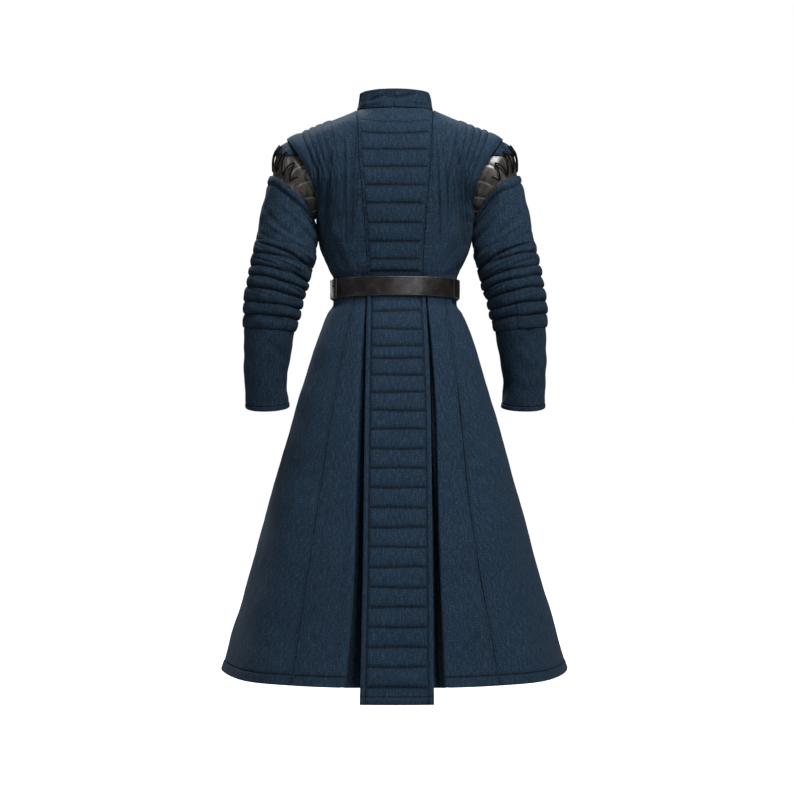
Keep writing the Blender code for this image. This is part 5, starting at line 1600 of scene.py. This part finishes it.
def back_gore(side, sign):
    column = 1 if side == "left" else 2
    fold = lambda z: np.abs(degrees_at(curve(PLEATS, column, z), z))
    base = gore_base(sign, fold, back_seam(side))
    us = stitched_rows(0.14, 0.0036, -SEAM_STITCH, turned=(False, True))
    vs = SKIRT_ROWS
    u, v = np.meshgrid(us, vs)
    points = base(u, v)
    out = normals_of(base, u, v, sign)
    height, dark = hem_and_seams(points, (1,))
    from_fold = from_border(points, 0)
    swell = 0.0016 * bell(from_fold, 0.010, 0.012) * smooth(-0.44, -0.6, points[..., 2])
    height = height + hanging(points, 141 + sign) * smooth(0.0, 0.03, from_fold) + swell
    height = height + rounded(from_fold, FOLD_RADIUS)
    face = kept_back(points + out * height[..., None], (False, True, True, False), False)
    z = skirt_z(vs)
    depth = curve(PLEATS, 3, z)
    wave = 0.0022 * np.sin(z * 13 + (1.0 if sign > 0 else 2.2)) * smooth(-0.5, -0.8, z)
    returns = []
    for share in (1.0, 0.82, 0.62, 0.42, 0.22, 0.08, 0.0):
        bulge = wave * np.sin(pi * share)
        lean = -sign * FOLD_LEAN[side] * smooth(0.12, 0.62, share) * smooth(-0.45, -0.75, z)
        inwards = FOLD_RADIUS * 0.4 * (1 - share) + depth * share
        hang = FOLD_HANG * share * smooth(HEM_Z + 0.10, HEM_Z, z)
        turn_in = face[:, 0] + np.stack([sign * bulge + lean, -inwards, -hang], axis=-1)
        returns.append(turn_in)
    outer = np.concatenate([np.stack(returns, axis=1), face], axis=1)
    inner_us = np.unique(np.append(us[::4], 1.0))
    iu, iv = np.meshgrid(inner_us, vs)
    inner = base(iu, iv) - normals_of(base, iu, iv, sign) * SKIRT_CLOTH
    inner = kept_back(inner, (False, True, True, False), False)
    corner = base(0 * vs, vs) + np.array([sign * SKIRT_CLOTH, -SKIRT_CLOTH, 0])
    limit = inner[:, 1, 0] - sign * 0.002
    corner[:, 0] = np.where((inner[:, 1, 0] - corner[:, 0]) * sign < 0.002, limit, corner[:, 0])
    inner[:, 0] = corner
    end = np.stack([corner[:, 0], outer[:, 0, 1], corner[:, 2]], axis=-1)
    inner = np.concatenate([end[:, None], inner], axis=1)
    all_us = np.concatenate([np.linspace(-0.2, -0.01, len(returns)), us])
    in_us = np.concatenate([[-0.2], inner_us])
    # painted shade on the folds that turn in behind the tail, deepest where they go furthest in
    shade = np.concatenate([np.tile(np.linspace(0.35, 0.0, len(returns)), (len(vs), 1)), dark], axis=1)
    piece = build(f"skirt_back_{side}_cloth", outer, inner, all_us, vs, in_us, vs, WOOL, WOOL_INSIDE_PAINTED_SHADE, False,
                  {"painted_shade": shade})
    fit_in(piece, f"skirt_back_{side}")
    MADE[f"skirt_back_{side}"] = (face, out, us, vs)
    CUT_GRIDS[f"skirt_back_{side}"] = outer
    print(piece.name, len(piece.data.polygons), "faces")


for side, sign in SIDES:
    back_gore(side, sign)


# %% Underlay
UNDERLAY_HANG = 0.010      # its foot hangs lower than the hem by this much


def underlay_base(u, v):
    z = skirt_z(v)
    ends = []
    for column, sign in ((2, -1), (1, 1)):
        x = sign * curve(PLEATS, column, z)
        edge = skirt_point(degrees_at(x, z), z)
        low = z - UNDERLAY_HANG * smooth(HEM_Z + 0.10, HEM_Z, z)
        ends.append(points_of(x + sign * SKIRT_CLOTH, edge[..., 1] - curve(PLEATS, 3, z) - LAID, low))
    return mix(ends[0], ends[1], u[..., None])


def underlay_relief(u, v, points):
    height, dark = hem_and_seams(points, ())
    return with_painted_shade(height - 0.0006 * (uneven(points, 0.06, 1.0, 151) + 1), dark)


panel("pleat_underlay", underlay_base, steps_along(0.17, 0.006), steps_along(0.96, 0.009), SKIRT_CLOTH, 1,
      underlay_relief, back_off=(False, False, True, False))

# %% [markdown]
# ## Tail
# A separate quilted strip hangs from the waist over the pleats and ends below the hem. 21 rows of
# stitches make twenty low rolls, most of them a little over 40 mm high. Down each side a plain border
# is marked off by one more row of stitches, and it is free at its edges, so it is bound thick and
# round.

# %% Tail
TAIL_BORDER = 0.0125       # width of the plain border down each side
TAIL_HEM = 0.0175          # height of the plain hem at its foot
TAIL_LENGTH = 0.97


def tail_z(v):
    return mix(WAIST_Z, TAIL_END_Z, v)


def tail_base(u, v):
    z = tail_z(v)
    x = mix(curve(TAIL_EDGES, 2, z), curve(TAIL_EDGES, 1, z), u)
    return skirt_point(degrees_at(x, z), z)


def tail_row(z):
    return (z - WAIST_Z) / (TAIL_END_Z - WAIST_Z)


TAIL_LINES = [tail_row(TAIL_FIRST_LINE_Z + 0.0235), tail_row(TAIL_FIRST_LINE_Z)]
line_z = TAIL_FIRST_LINE_Z
for roll in TAIL_ROLLS_MM:
    line_z -= roll / 1000
    TAIL_LINES.append(tail_row(line_z))


def tail_relief(u, v, points):
    edge = np.minimum(from_border(points, 0), from_border(points, 1))
    foot = from_border(points, 3)
    inside = smooth(TAIL_BORDER * 0.9, TAIL_BORDER * 1.5, edge)
    bowed = v + 0.0009 * np.sin(points[..., 0] * 38 + v * 60)
    height, painted_shade = quilted(bowed, points[..., 0], TAIL_LINES, inside, TAIL_LENGTH, TAIL_PUFF, 7)
    painted_shade = painted_shade * smooth(TAIL_LINES[0] + 0.004, TAIL_LINES[0] + 0.012, v)
    border = bell(edge, 0.0015, TAIL_BORDER)
    hem = bell(foot, 0.0015, TAIL_HEM)
    # painted shade inside the border lines, in the quilting lines and along the border's and the hem's
    # stitches
    shade = 0.25 * bell(edge - TAIL_BORDER, 0.004, 0.004)
    swell = 0.0022 * bell(np.minimum(edge, foot * 0.7), 0.0042, TAIL_BORDER * 0.5)
    height = height + swell - 0.0013 * border - 0.0012 * hem + rounded(edge, 0.0026) + rounded(foot, 0.0026)
    height = height + uneven(points, 0.06, 0.0008, 161)
    return with_painted_shade(height, np.maximum(painted_shade, shade) + 0.75 * border + 0.75 * hem)


panel("tail", tail_base, stitched_rows(0.157, 0.0034, TAIL_BORDER, -TAIL_BORDER),
      stitched_rows(0.95, 0.0023, -TAIL_HEM), BODICE_CLOTH, 1, tail_relief,
      back_off=(False, False, True, False))

# %% [markdown]
# ## Laces
# One waxed lace on each shoulder goes to and fro between the under-cap and the leather band. It
# follows the route of the solid, as a cord of three twisted strands.

# %% Laces
LACE_TWIST = 0.0075        # metres for one turn of the strands
LACE_FULL = 1.45           # the finished cord is thicker than its solid
LACE_POINTS = 0.0012       # metres between the points of its line


def smooth_line(points, spacing):
    """Points about this far apart on a smooth line through given ones."""
    points = np.array(points)
    knots = np.concatenate([[0.0], np.cumsum(np.linalg.norm(np.diff(points, axis=0), axis=1))])
    at = np.linspace(0.0, knots[-1], int(knots[-1] / spacing) + 1)
    return through(knots, np.broadcast_to(points[:, None], (len(points), len(at), 3)), at)


def tube(name, line, radius, sides, surface, closed=False, strands=0, taper=None):
    """A tube along a line of points, with caps unless it is closed."""
    line = np.array(line)
    if closed:
        way = np.roll(line, -1, axis=0) - np.roll(line, 1, axis=0)
    else:
        way = np.gradient(line, axis=0)
    way = unit(way)
    side = np.cross(way[0], (0.31, 0.27, 0.91))
    frames = []
    for step in way:
        side = side - step * (side @ step)
        side = side / np.linalg.norm(side)
        frames.append((side, np.cross(step, side)))
    first, second = (np.array([f[k] for f in frames]) for k in (0, 1))
    if closed:
        back = first[-1] - way[0] * (first[-1] @ way[0])
        slip = np.arctan2(back @ second[0], back @ first[0])
        turn_by = -slip * np.arange(len(line)) / len(line)
    else:
        turn_by = np.zeros(len(line))
    run = np.concatenate([[0.0], np.cumsum(np.linalg.norm(np.diff(line, axis=0), axis=1))])
    angle = 2 * pi * np.arange(sides) / sides + turn_by[:, None]
    size = radius * np.ones((len(line), sides))
    if strands:
        size = size * (0.93 + 0.09 * np.cos(strands * (angle - 2 * pi * run[:, None] / LACE_TWIST)))
    if taper is not None:
        size = size * np.asarray(taper)[:, None]
    ring = first[:, None] * np.cos(angle)[..., None] + second[:, None] * np.sin(angle)[..., None]
    points = (line[:, None] + ring * size[..., None]).reshape(-1, 3)
    rows = len(line)
    faces = []
    for r in range(rows if closed else rows - 1):
        for k in range(sides):
            after = (r + 1) % rows
            faces.append((r * sides + k, r * sides + (k + 1) % sides, after * sides + (k + 1) % sides,
                          after * sides + k))
    if not closed:
        faces += [tuple(range(sides))[::-1], tuple((rows - 1) * sides + k for k in range(sides))]
    mesh = bpy.data.meshes.new(name)
    mesh.from_pydata(points.tolist(), [], faces)
    mesh.materials.append(surface)
    return finished(name, mesh)


def lace_route(sign):
    """The listed points of the lace, on the band and on the cap by turns."""
    band = band_base(sign)
    points = []
    for crossing in range(-LACE_HALF_TURNS, LACE_HALF_TURNS):
        for share, v, lift in LACE_CROSSING:
            turn = np.array([(crossing + share) * LACE_STEP / 360])
            level = np.array([v])
            points.append((band(turn, level) + tube_normals(band, turn % 1.0, level, -sign) * lift)[0])
    return points


for side, sign in SIDES:
    line = smooth_line(lace_route(sign), LACE_POINTS)
    lace = tube(f"lace_{side}_cord", line, LACE_RADIUS * LACE_FULL, 12, LACE, strands=3)
    fit_in(lace, f"lace_{side}")
    print(lace.name, len(lace.data.polygons), "faces")

# %% [markdown]
# ## Belt
# A strap of thick leather goes round the back. The front straps lie over its ends, step down to the
# cloth and meet in a plain buckle. Leather that has been worn is paler along its edges, where a
# shallow line is pressed in, and it waves a little along its length.

# %% Belt surface
BEAD_IN = 0.0038          # the pressed line runs this far from each edge
HOLE_RADIUS = 0.0019
HOLE_SPACING = 0.024
FIRST_HOLE = 0.262        # metres along the strap
HOLES = 4


def belt_point(degrees, height, off):
    """A point of the belt: degrees from the middle of the back towards +X, off its inner face."""
    turn = np.radians(degrees)
    half, back, front = BELT_RING
    across = power_of(np.sin(turn), 2 / ROUNDNESS)
    along = power_of(np.cos(turn), 2 / ROUNDNESS)
    y = np.where(np.cos(turn) > 0, along * (back + off), along * (front + off))
    return points_of(across * (half + off), y, BELT_MIDDLE_Z + BELT_TILT * y + height)


def strap_base(first, last, off):
    def base(u, v):
        degrees = mix(first, last, u)
        height = mix(-BELT_HALF_HEIGHT, BELT_HALF_HEIGHT, v)
        return belt_point(degrees, height, off(degrees) + BELT_LEATHER_THICK)
    return base


def strap_relief(seed, holes=()):
    def raised(u, v, points):
        rim = np.minimum(from_border(points, 2), from_border(points, 3))
        ends = np.minimum(from_border(points, 0), from_border(points, 1))
        edge = np.minimum(rim, ends)
        bead = bell(edge, 0.0008, BEAD_IN)
        height = rounded(edge, 0.0013) - 0.00045 * bead + uneven(points, 0.035, 0.00035, seed)
        height += 0.0004 * np.sin(points[..., 0] * 90 + points[..., 2] * 30 + seed) * smooth(0.0, 0.01, edge)
        run = lengths(points, 1)
        # painted shade in the pressed line and in the holes
        dark = 0.5 * bead
        for at, level in holes:
            away = np.hypot(run - at, (v - level) * 2 * BELT_HALF_HEIGHT)
            height = height - 0.0016 * (1 - smooth(HOLE_RADIUS * 0.7, HOLE_RADIUS, away))
            height = height + 0.0003 * bell(away, 0.0006, HOLE_RADIUS * 1.4)
            dark = np.maximum(dark, 1 - smooth(HOLE_RADIUS * 0.8, HOLE_RADIUS * 1.2, away))
        paler_tone = np.clip(0.45 * bell(edge, 0.0018) + 0.15 * bell(edge - BEAD_IN, 0.001, 0.0016), 0, 1)
        return height, {"edge": paler_tone, "painted_shade": dark}
    return raised


def step_down(degrees):
    """How far a front strap stands off while it lies over the back strap."""
    over = BELT_LEATHER_THICK + LAID
    return over * (1 - smooth(BELT_BACK_END + 2, BELT_BACK_END + 13, degrees))


def tongue(degrees):
    """The right strap steps down to the cloth, then rises through the buckle over the left strap."""
    through_buckle = TONGUE_OFF * (1 - smooth(TONGUE_RISE[0], TONGUE_RISE[1], degrees))
    return np.where(degrees > TONGUE_RISE[1], step_down(360 - degrees), through_buckle)


# %% Belt straps
STRAP_GRID = 0.0022
PIERCED_GRID = 0.0014      # finer, for the holes

for name, first, last, off, length, holes in (
        ("belt_back", -BELT_BACK_END, BELT_BACK_END, lambda d: 0.0 * d, 0.42, ()),
        ("belt_front_left", BELT_SIDE_END, BUCKLE_STRAP_END, step_down, 0.25, ((0.012, 0.62),)),
        ("belt_front_right", 360 - BELT_SIDE_END, TONGUE_END, tongue, 0.34,
         ((0.012, 0.62),) + tuple((FIRST_HOLE + HOLE_SPACING * k, 0.5) for k in range(HOLES)))):
    grid = PIERCED_GRID if holes else STRAP_GRID
    panel(name, strap_base(first, last, off), steps_along(length, grid), steps_along(0.0444, PIERCED_GRID),
          BELT_LEATHER_THICK, -1 if last > first else 1, strap_relief(171 + len(holes), holes),
          surface=BELT_LEATHER, within=BELT_LEATHER, back_off=(False,) * 4, every=3,
          name=f"{name}_strap")


# %% Buckle
def front_point(x, height, off):
    """A point of the belt's front at x."""
    turn = np.degrees(np.arcsin(np.abs(x / (BELT_RING[0] + off)) ** (ROUNDNESS / 2)))
    return belt_point(180 - turn if x > 0 else 180 + turn, height, off)


def buckle():
    low, high = BUCKLE_ROD + 0.0003, BELT_LEATHER_THICK + LAID + BUCKLE_ROD
    left, right = BUCKLE_X + BUCKLE_HALF_WIDTH, BUCKLE_X - BUCKLE_HALF_WIDTH
    tall, corner = BUCKLE_HALF_HEIGHT, 0.006
    bend = 0.0018    # how far the middle of a corner's curve lies inside the corner
    outline = [
        (left, -tall + corner, low), (left, 0.0, low), (left, tall - corner, low),
        (left - bend, tall - bend, low), (left - corner, tall, low), (BUCKLE_X, tall, (low + high) / 2),
        (right + corner, tall, high), (right + bend, tall - bend, high), (right, tall - corner, high),
        (right, 0.0, high), (right, -tall + corner, high), (right + bend, -tall + bend, high),
        (right + corner, -tall, high), (BUCKLE_X, -tall, (low + high) / 2), (left - corner, -tall, low),
        (left - bend, -tall + bend, low),
    ]
    loop = [front_point(*p) for p in outline]
    line = smooth_line(loop[-2:] + loop + loop[:3], 0.0012)
    start = np.argmin(np.linalg.norm(line[:40] - loop[0], axis=1))
    end = len(line) - 40 + np.argmin(np.linalg.norm(line[-40:] - loop[0], axis=1))
    frame_piece = tube("buckle_frame_bar", line[start:end], BUCKLE_ROD, 14, STEEL, closed=True)
    fit_in(frame_piece, "buckle_frame")
    on_tongue = TONGUE_OFF + BELT_LEATHER_THICK + LAID + PRONG_RADIUS
    on_bar = high + BUCKLE_ROD + LAID + PRONG_RADIUS
    begin, finish = BUCKLE_X + 0.012, right - 0.004
    places = [(begin, 0.0, on_tongue), (mix(begin, finish, 0.5), 0.0, max(on_tongue, on_bar) + 0.001),
              (right, 0.0, on_bar), (finish, 0.0, on_bar)]
    line = smooth_line([front_point(*p) for p in places], 0.001)
    taper = np.clip(np.minimum(np.linspace(0.35, 8, len(line)), np.linspace(9, 0.55, len(line))), 0.35, 1.0)
    prong_piece = tube("buckle_prong_bar", line, PRONG_RADIUS, 12, STEEL, taper=taper)
    fit_in(prong_piece, "buckle_prong")


def keeper():
    """A leather loop that holds the end of the belt: two walls with rounded corners round the straps."""
    off = TONGUE_OFF + BELT_LEATHER_THICK + LAID
    columns = np.linspace(KEEPER_X - KEEPER_HALF, KEEPER_X + KEEPER_HALF, 9)
    rings = []
    for x in columns:
        ring = []
        wall = KEEPER_WALL - KEEPER_INSET * (abs(x - KEEPER_X) > 0.0065)
        for tall, far, radius in ((BELT_HALF_HEIGHT + LAID + wall, off + wall, KEEPER_CORNER),
                                  (BELT_HALF_HEIGHT + LAID, off, 0.0004)):
            bends = [(radius * cos(a), radius * sin(a)) for a in np.linspace(0, pi / 2, 5)]
            profile = [(tall, 0.0)] + [(tall - radius + a, far - radius + b) for a, b in bends]
            profile += [(-tall + radius - b, far - radius + a) for a, b in bends] + [(-tall, 0.0)]
            ring.append([front_point(x, height, out) for height, out in profile])
        rings.append(ring[0] + ring[1][::-1])
    count = len(rings[0])
    half = count // 2
    points = np.array(rings).reshape(-1, 3)
    faces = []
    for r in range(len(columns) - 1):
        for k in range(count):
            faces.append((r * count + k, r * count + (k + 1) % count, (r + 1) * count + (k + 1) % count,
                          (r + 1) * count + k))
    for row in (0, len(columns) - 1):
        for k in range(half - 1):
            faces.append((row * count + k, row * count + k + 1, row * count + count - 2 - k,
                          row * count + count - 1 - k))
    mesh = bpy.data.meshes.new("belt_keeper_loop")
    mesh.from_pydata(points.tolist(), [], faces)
    mesh.materials.append(BELT_LEATHER)
    paler_tone = mesh.attributes.new("edge", "FLOAT", "POINT")
    paler_tone.data.foreach_set("value", np.repeat([0.9] + [0.15] * (len(columns) - 2) + [0.9], count))
    fit_in(finished("belt_keeper_loop", mesh), "belt_keeper")


buckle()
keeper()
print("buckle and keeper made")

# %% [markdown]
# ## Stitches and eyelets
# A row of stitches is one repeated shape along a line, so it is made with geometry nodes. The lines
# are taken from the cloth itself: along a quilting line, or at a distance from a border. Each point
# keeps the direction that the cloth faces there. Every 4 mm a rounded stitch about 3 mm long is laid
# along the line. The eyelets of the leather band are small metal rings, made in the same way.

# %% Lines on the cloth
STITCH_PITCH = 0.0042
STITCH_LENGTH = 0.0030
STITCH_THICK = 0.0008


def beside_border(node, which, distance, start=0.0, end=1.0):
    """The line on a piece at this distance from one border, with the direction that the cloth faces."""
    outer, out = MADE[node][0], MADE[node][1]
    away = from_border(outer, which)
    if which >= 2:
        outer, out, away = outer.transpose(1, 0, 2), out.transpose(1, 0, 2), away.T
    if which % 2:
        outer, out, away = outer[:, ::-1], out[:, ::-1], away[:, ::-1]
    count = len(outer)
    rows = range(int(start * (count - 1)), int(end * (count - 1)) + 1)
    points = [[np.interp(distance, away[r], outer[r, :, k]) for k in range(3)] for r in rows]
    faces = [[np.interp(distance, away[r], out[r, :, k]) for k in range(3)] for r in rows]
    return np.array(points), np.array(faces)


def along_row(node, v, low=0.0, high=1.0):
    """The line across a piece at one v."""
    outer, out, us, vs = MADE[node]
    at = np.interp(v, vs, np.arange(len(vs)))
    r = min(int(at), len(vs) - 2)
    f = at - r
    keep = (us[:outer.shape[1]] >= low) & (us[:outer.shape[1]] <= high)
    return mix(outer[r], outer[r + 1], f)[keep], mix(out[r], out[r + 1], f)[keep]


# %% Repeats with geometry nodes
def repeat_tree(name, kind, surface):
    """A tree that lays a shape along edges: the sockets hold its pitch, its size and a fixed seed."""
    tree = bpy.data.node_groups.new(name, "GeometryNodeTree")
    face = tree.interface
    face.new_socket("Lines", in_out="INPUT", socket_type="NodeSocketGeometry")
    for label, value in (("Pitch", STITCH_PITCH), ("Length", STITCH_LENGTH), ("Thickness", STITCH_THICK)):
        face.new_socket(label, in_out="INPUT", socket_type="NodeSocketFloat").default_value = value
    face.new_socket("Seed", in_out="INPUT", socket_type="NodeSocketInt").default_value = 1
    face.new_socket("Result", in_out="OUTPUT", socket_type="NodeSocketGeometry")
    given = add(tree, "NodeGroupInput")
    facing = add(tree, "GeometryNodeInputNamedAttribute", data_type="FLOAT_VECTOR", put={"Name": "facing"})
    up = add(tree, "FunctionNodeAlignRotationToVector", take={"Vector": facing}, axis="Z")
    if kind == "stitch":
        line = add(tree, "GeometryNodeMeshToCurve", take={"Mesh": given.outputs["Lines"]})
        spots = add(tree, "GeometryNodeResampleCurve", mode="LENGTH",
                    take={"Curve": line, "Length": given.outputs["Pitch"]})
        way = add(tree, "GeometryNodeInputTangent")
        turned = add(tree, "FunctionNodeAlignRotationToVector", axis="X", pivot_axis="Z",
                     take={"Rotation": up, "Vector": way})
        shape = add(tree, "GeometryNodeMeshIcoSphere", put={"Radius": 0.5, "Subdivisions": 1})
        size = add(tree, "ShaderNodeCombineXYZ", take={"X": given.outputs["Length"],
                                                        "Y": given.outputs["Thickness"],
                                                        "Z": given.outputs["Thickness"]})
    else:
        spots = add(tree, "GeometryNodeMeshToPoints", take={"Mesh": given.outputs["Lines"]})
        turned = up
        ring = add(tree, "GeometryNodeCurvePrimitiveCircle", put={"Resolution": 12, "Radius": 1.0})
        bead = add(tree, "GeometryNodeCurvePrimitiveCircle", put={"Resolution": 6, "Radius": 0.34})
        shape = add(tree, "GeometryNodeCurveToMesh", take={"Curve": ring.outputs["Curve"],
                                                            "Profile Curve": bead.outputs["Curve"]})
        size = add(tree, "ShaderNodeCombineXYZ", take={"X": given.outputs["Length"],
                                                        "Y": given.outputs["Length"],
                                                        "Z": given.outputs["Thickness"]})
    vary = add(tree, "FunctionNodeRandomValue", data_type="FLOAT", put={2: 0.86, 3: 1.12},
               take={"Seed": given.outputs["Seed"]})
    scaled = scaled_by(tree, size, vary.outputs[1])
    laid = add(tree, "GeometryNodeInstanceOnPoints", take={"Points": spots, "Instance": shape,
                                                           "Rotation": turned, "Scale": scaled})
    real = add(tree, "GeometryNodeRealizeInstances", take={"Geometry": laid})
    dressed = add(tree, "GeometryNodeSetMaterial", take={"Geometry": real}, put={"Material": surface})
    result = add(tree, "NodeGroupOutput")
    tree.links.new(dressed.outputs[0], result.inputs["Result"])
    return tree


def repeated(name, tree, lines, sizes):
    """Lays the tree's shape along these lines, as one finished mesh that rides with the coat."""
    points, facing, edges = [], [], []
    for line, faces in lines:
        start = len(points)
        points += line.tolist()
        facing += faces.ravel().tolist()
        edges += [(start + k, start + k + 1) for k in range(len(line) - 1)]
    mesh = bpy.data.meshes.new(name)
    mesh.from_pydata(points, edges, [])
    mesh.attributes.new("facing", "FLOAT_VECTOR", "POINT").data.foreach_set("vector", facing)
    made = placed(name, mesh)
    modifier = made.modifiers.new(name, "NODES")
    modifier.node_group = tree
    for item in tree.interface.items_tree:
        if item.in_out == "INPUT" and item.name in sizes:
            modifier[item.identifier] = sizes[item.name]
    seen = made.evaluated_get(bpy.context.evaluated_depsgraph_get())
    made.data = bpy.data.meshes.new_from_object(seen)
    made.modifiers.clear()
    made.data.shade_smooth()
    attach(made, ROOT)
    print(name, len(made.data.polygons), "faces")
    return made


STITCH_TREE = repeat_tree("stitch_row", "stitch", THREAD)
RING_TREE = repeat_tree("eyelet", "ring", STEEL)

# %% Stitches
back_rows = [along_row("back_centre", v, 0.07, 0.93) for v in BACK_LINE_ROWS]
tail_rows = [along_row("tail", v, 0.10, 0.90) for v in TAIL_LINES[1:] if v < 0.985]
tail_rows += [beside_border("tail", which, TAIL_BORDER, 0.02) for which in (0, 1)]
tail_rows += [beside_border("tail", 3, TAIL_HEM)]
hem_rows = [beside_border(f"skirt_{part}_{side}", 3, SKIRT_HEM_STITCH) for side, _ in SIDES
            for part in ("side", "front", "back")]
seam_rows = [beside_border(f"skirt_side_{side}", which, SEAM_STITCH) for side, _ in SIDES for which in (0, 1)]
seam_rows += [beside_border(f"skirt_front_{side}", 1, FRONT_STITCH) for side, _ in SIDES]
sleeve_rows = [beside_border(f"sleeve_lower_{side}", 3, HEM_STITCH) for side, _ in SIDES]
sleeve_rows += [beside_border(f"sleeve_upper_{side}", 2, BINDING_STITCH) for side, _ in SIDES]
collar_rows = [beside_border("collar", which, away) for which, away in zip((2, 3), COLLAR_STITCHES)]

for name, rows in (("stitches_back", back_rows), ("stitches_tail", tail_rows), ("stitches_hem", hem_rows),
                   ("stitches_seams", seam_rows), ("stitches_sleeves", sleeve_rows),
                   ("stitches_collar", collar_rows)):
    repeated(name, STITCH_TREE, rows, {"Seed": len(rows)})

# %% Eyelets
EYELET_RADIUS, EYELET_THICK = 0.0024, 0.0016
EYELET_LEVEL = 0.30        # share of the way down the band
EYELET_PLACE = 0.35        # share of the way across a plate
rings = []
for side, sign in SIDES:
    base = band_base(sign)
    turn = np.array([(k + EYELET_PLACE) / BAND_PLATES for k in range(-4, 4)])
    level = np.full_like(turn, EYELET_LEVEL)
    out = tube_normals(base, turn % 1.0, level, -sign)
    rings.append((base(turn, level) + out * (BAND_STEP * 0.55), out))
sizes = {"Length": EYELET_RADIUS, "Thickness": EYELET_THICK, "Seed": 4}
repeated("eyelets", RING_TREE, rings, sizes)

# %% [markdown]
# ## Stage and light
# The studio is plain white. The key lamp stands above the coat, to the camera's right, and a weaker
# one fills the shadows from beside the camera. A third stands above the front, which is lit as well
# when the coat is turned. Two small ones on the camera's left give the leather its thin shine. The
# white of the background is seen by the camera only. It lights the coat at a fraction of that.

# %% Stage and light
FLOOR_Z = -1.61           # the floor is well below the hem
WORLD_LIGHT = 0.035

# plain sRGB, so that the colours measured on a screen come out as they went in
bpy.context.scene.view_settings.view_transform = "Standard"

world = bpy.data.worlds.new("studio")
bpy.context.scene.world = world
world.use_nodes = True
tree = world.node_tree
ray = add(tree, "ShaderNodeLightPath")
strength = ranged(tree, ray.outputs["Is Camera Ray"], to_low=WORLD_LIGHT)
background = tree.nodes["Background"]
fill_in(background, {"Color": (1.0, 1.0, 1.0, 1.0)})
tree.links.new(strength.outputs[0], background.inputs["Strength"])

floor_paint, floor_tree, floor_shader = new_material("pale_studio_floor")
speckle = noise(floor_tree, add(floor_tree, "ShaderNodeTexCoord").outputs["Object"], 60.0, 2.0)
paint = blended(floor_tree, speckle.outputs["Fac"], "#b6b6b5", "#bebebd")
floor_tree.links.new(paint.outputs[2], floor_shader.inputs["Base Color"])
floor_ray = add(floor_tree, "ShaderNodeLightPath").outputs["Is Camera Ray"]
fill_in(floor_shader, {"Roughness": 0.9, "Emission Color": (1.0, 1.0, 1.0, 1.0)})
floor_tree.links.new(floor_ray, floor_shader.inputs["Emission Strength"])

floor_mesh = bpy.data.meshes.new("studio_floor")
floor_mesh.from_pydata([(x, y, FLOOR_Z) for x, y in ((-30, -60), (30, -60), (30, 12), (-30, 12))], [],
                       [(0, 1, 2, 3)])
floor_mesh.materials.append(floor_paint)
placed("studio_floor", floor_mesh)

# square lamps: place, the point that each faces, width in metres, watts
for name, place, aim, size, power in (("key", (-1.0, 2.0, 2.3), (0.0, 0.0, -0.45), 1.1, 200),
                                      ("fill", (-1.7, 5.8, -0.1), (0.0, 0.0, -0.65), 1.3, 44),
                                      ("behind", (0.8, -2.0, 2.3), (0.0, 0.0, -0.45), 1.1, 170),
                                      ("shine", (1.9, 0.9, 0.9), (0.25, 0.06, -0.15), 0.5, 8),
                                      ("rim", (2.4, -3.2, -0.3), (0.15, 0.0, -0.43), 0.8, 7)):
    lamp = bpy.data.lights.new(name, "AREA")
    lamp.size = size
    lamp.energy = power
    made = placed(name, lamp)
    made.location = place
    made.rotation_euler = (Vector(aim) - Vector(place)).to_track_quat("-Z", "Y").to_euler()
print("floor at", FLOOR_Z)

# %% [markdown]
# ## The cut of each sheet
# Quilted pieces are pads. The skirt, its underlay and the under-caps are single sheets; the size that
# each was cut to is measured along the cloth and printed.

# %% Cut sizes
for node in ("skirt_back_left", "skirt_back_right", "skirt_side_left", "skirt_side_right", "skirt_front_left",
             "skirt_front_right", "pleat_underlay", "under_cap_left", "under_cap_right"):
    wide, long, area = cut_of(node)
    print(node, "cut", round(wide * 1000), "x", round(long * 1000), "mm")
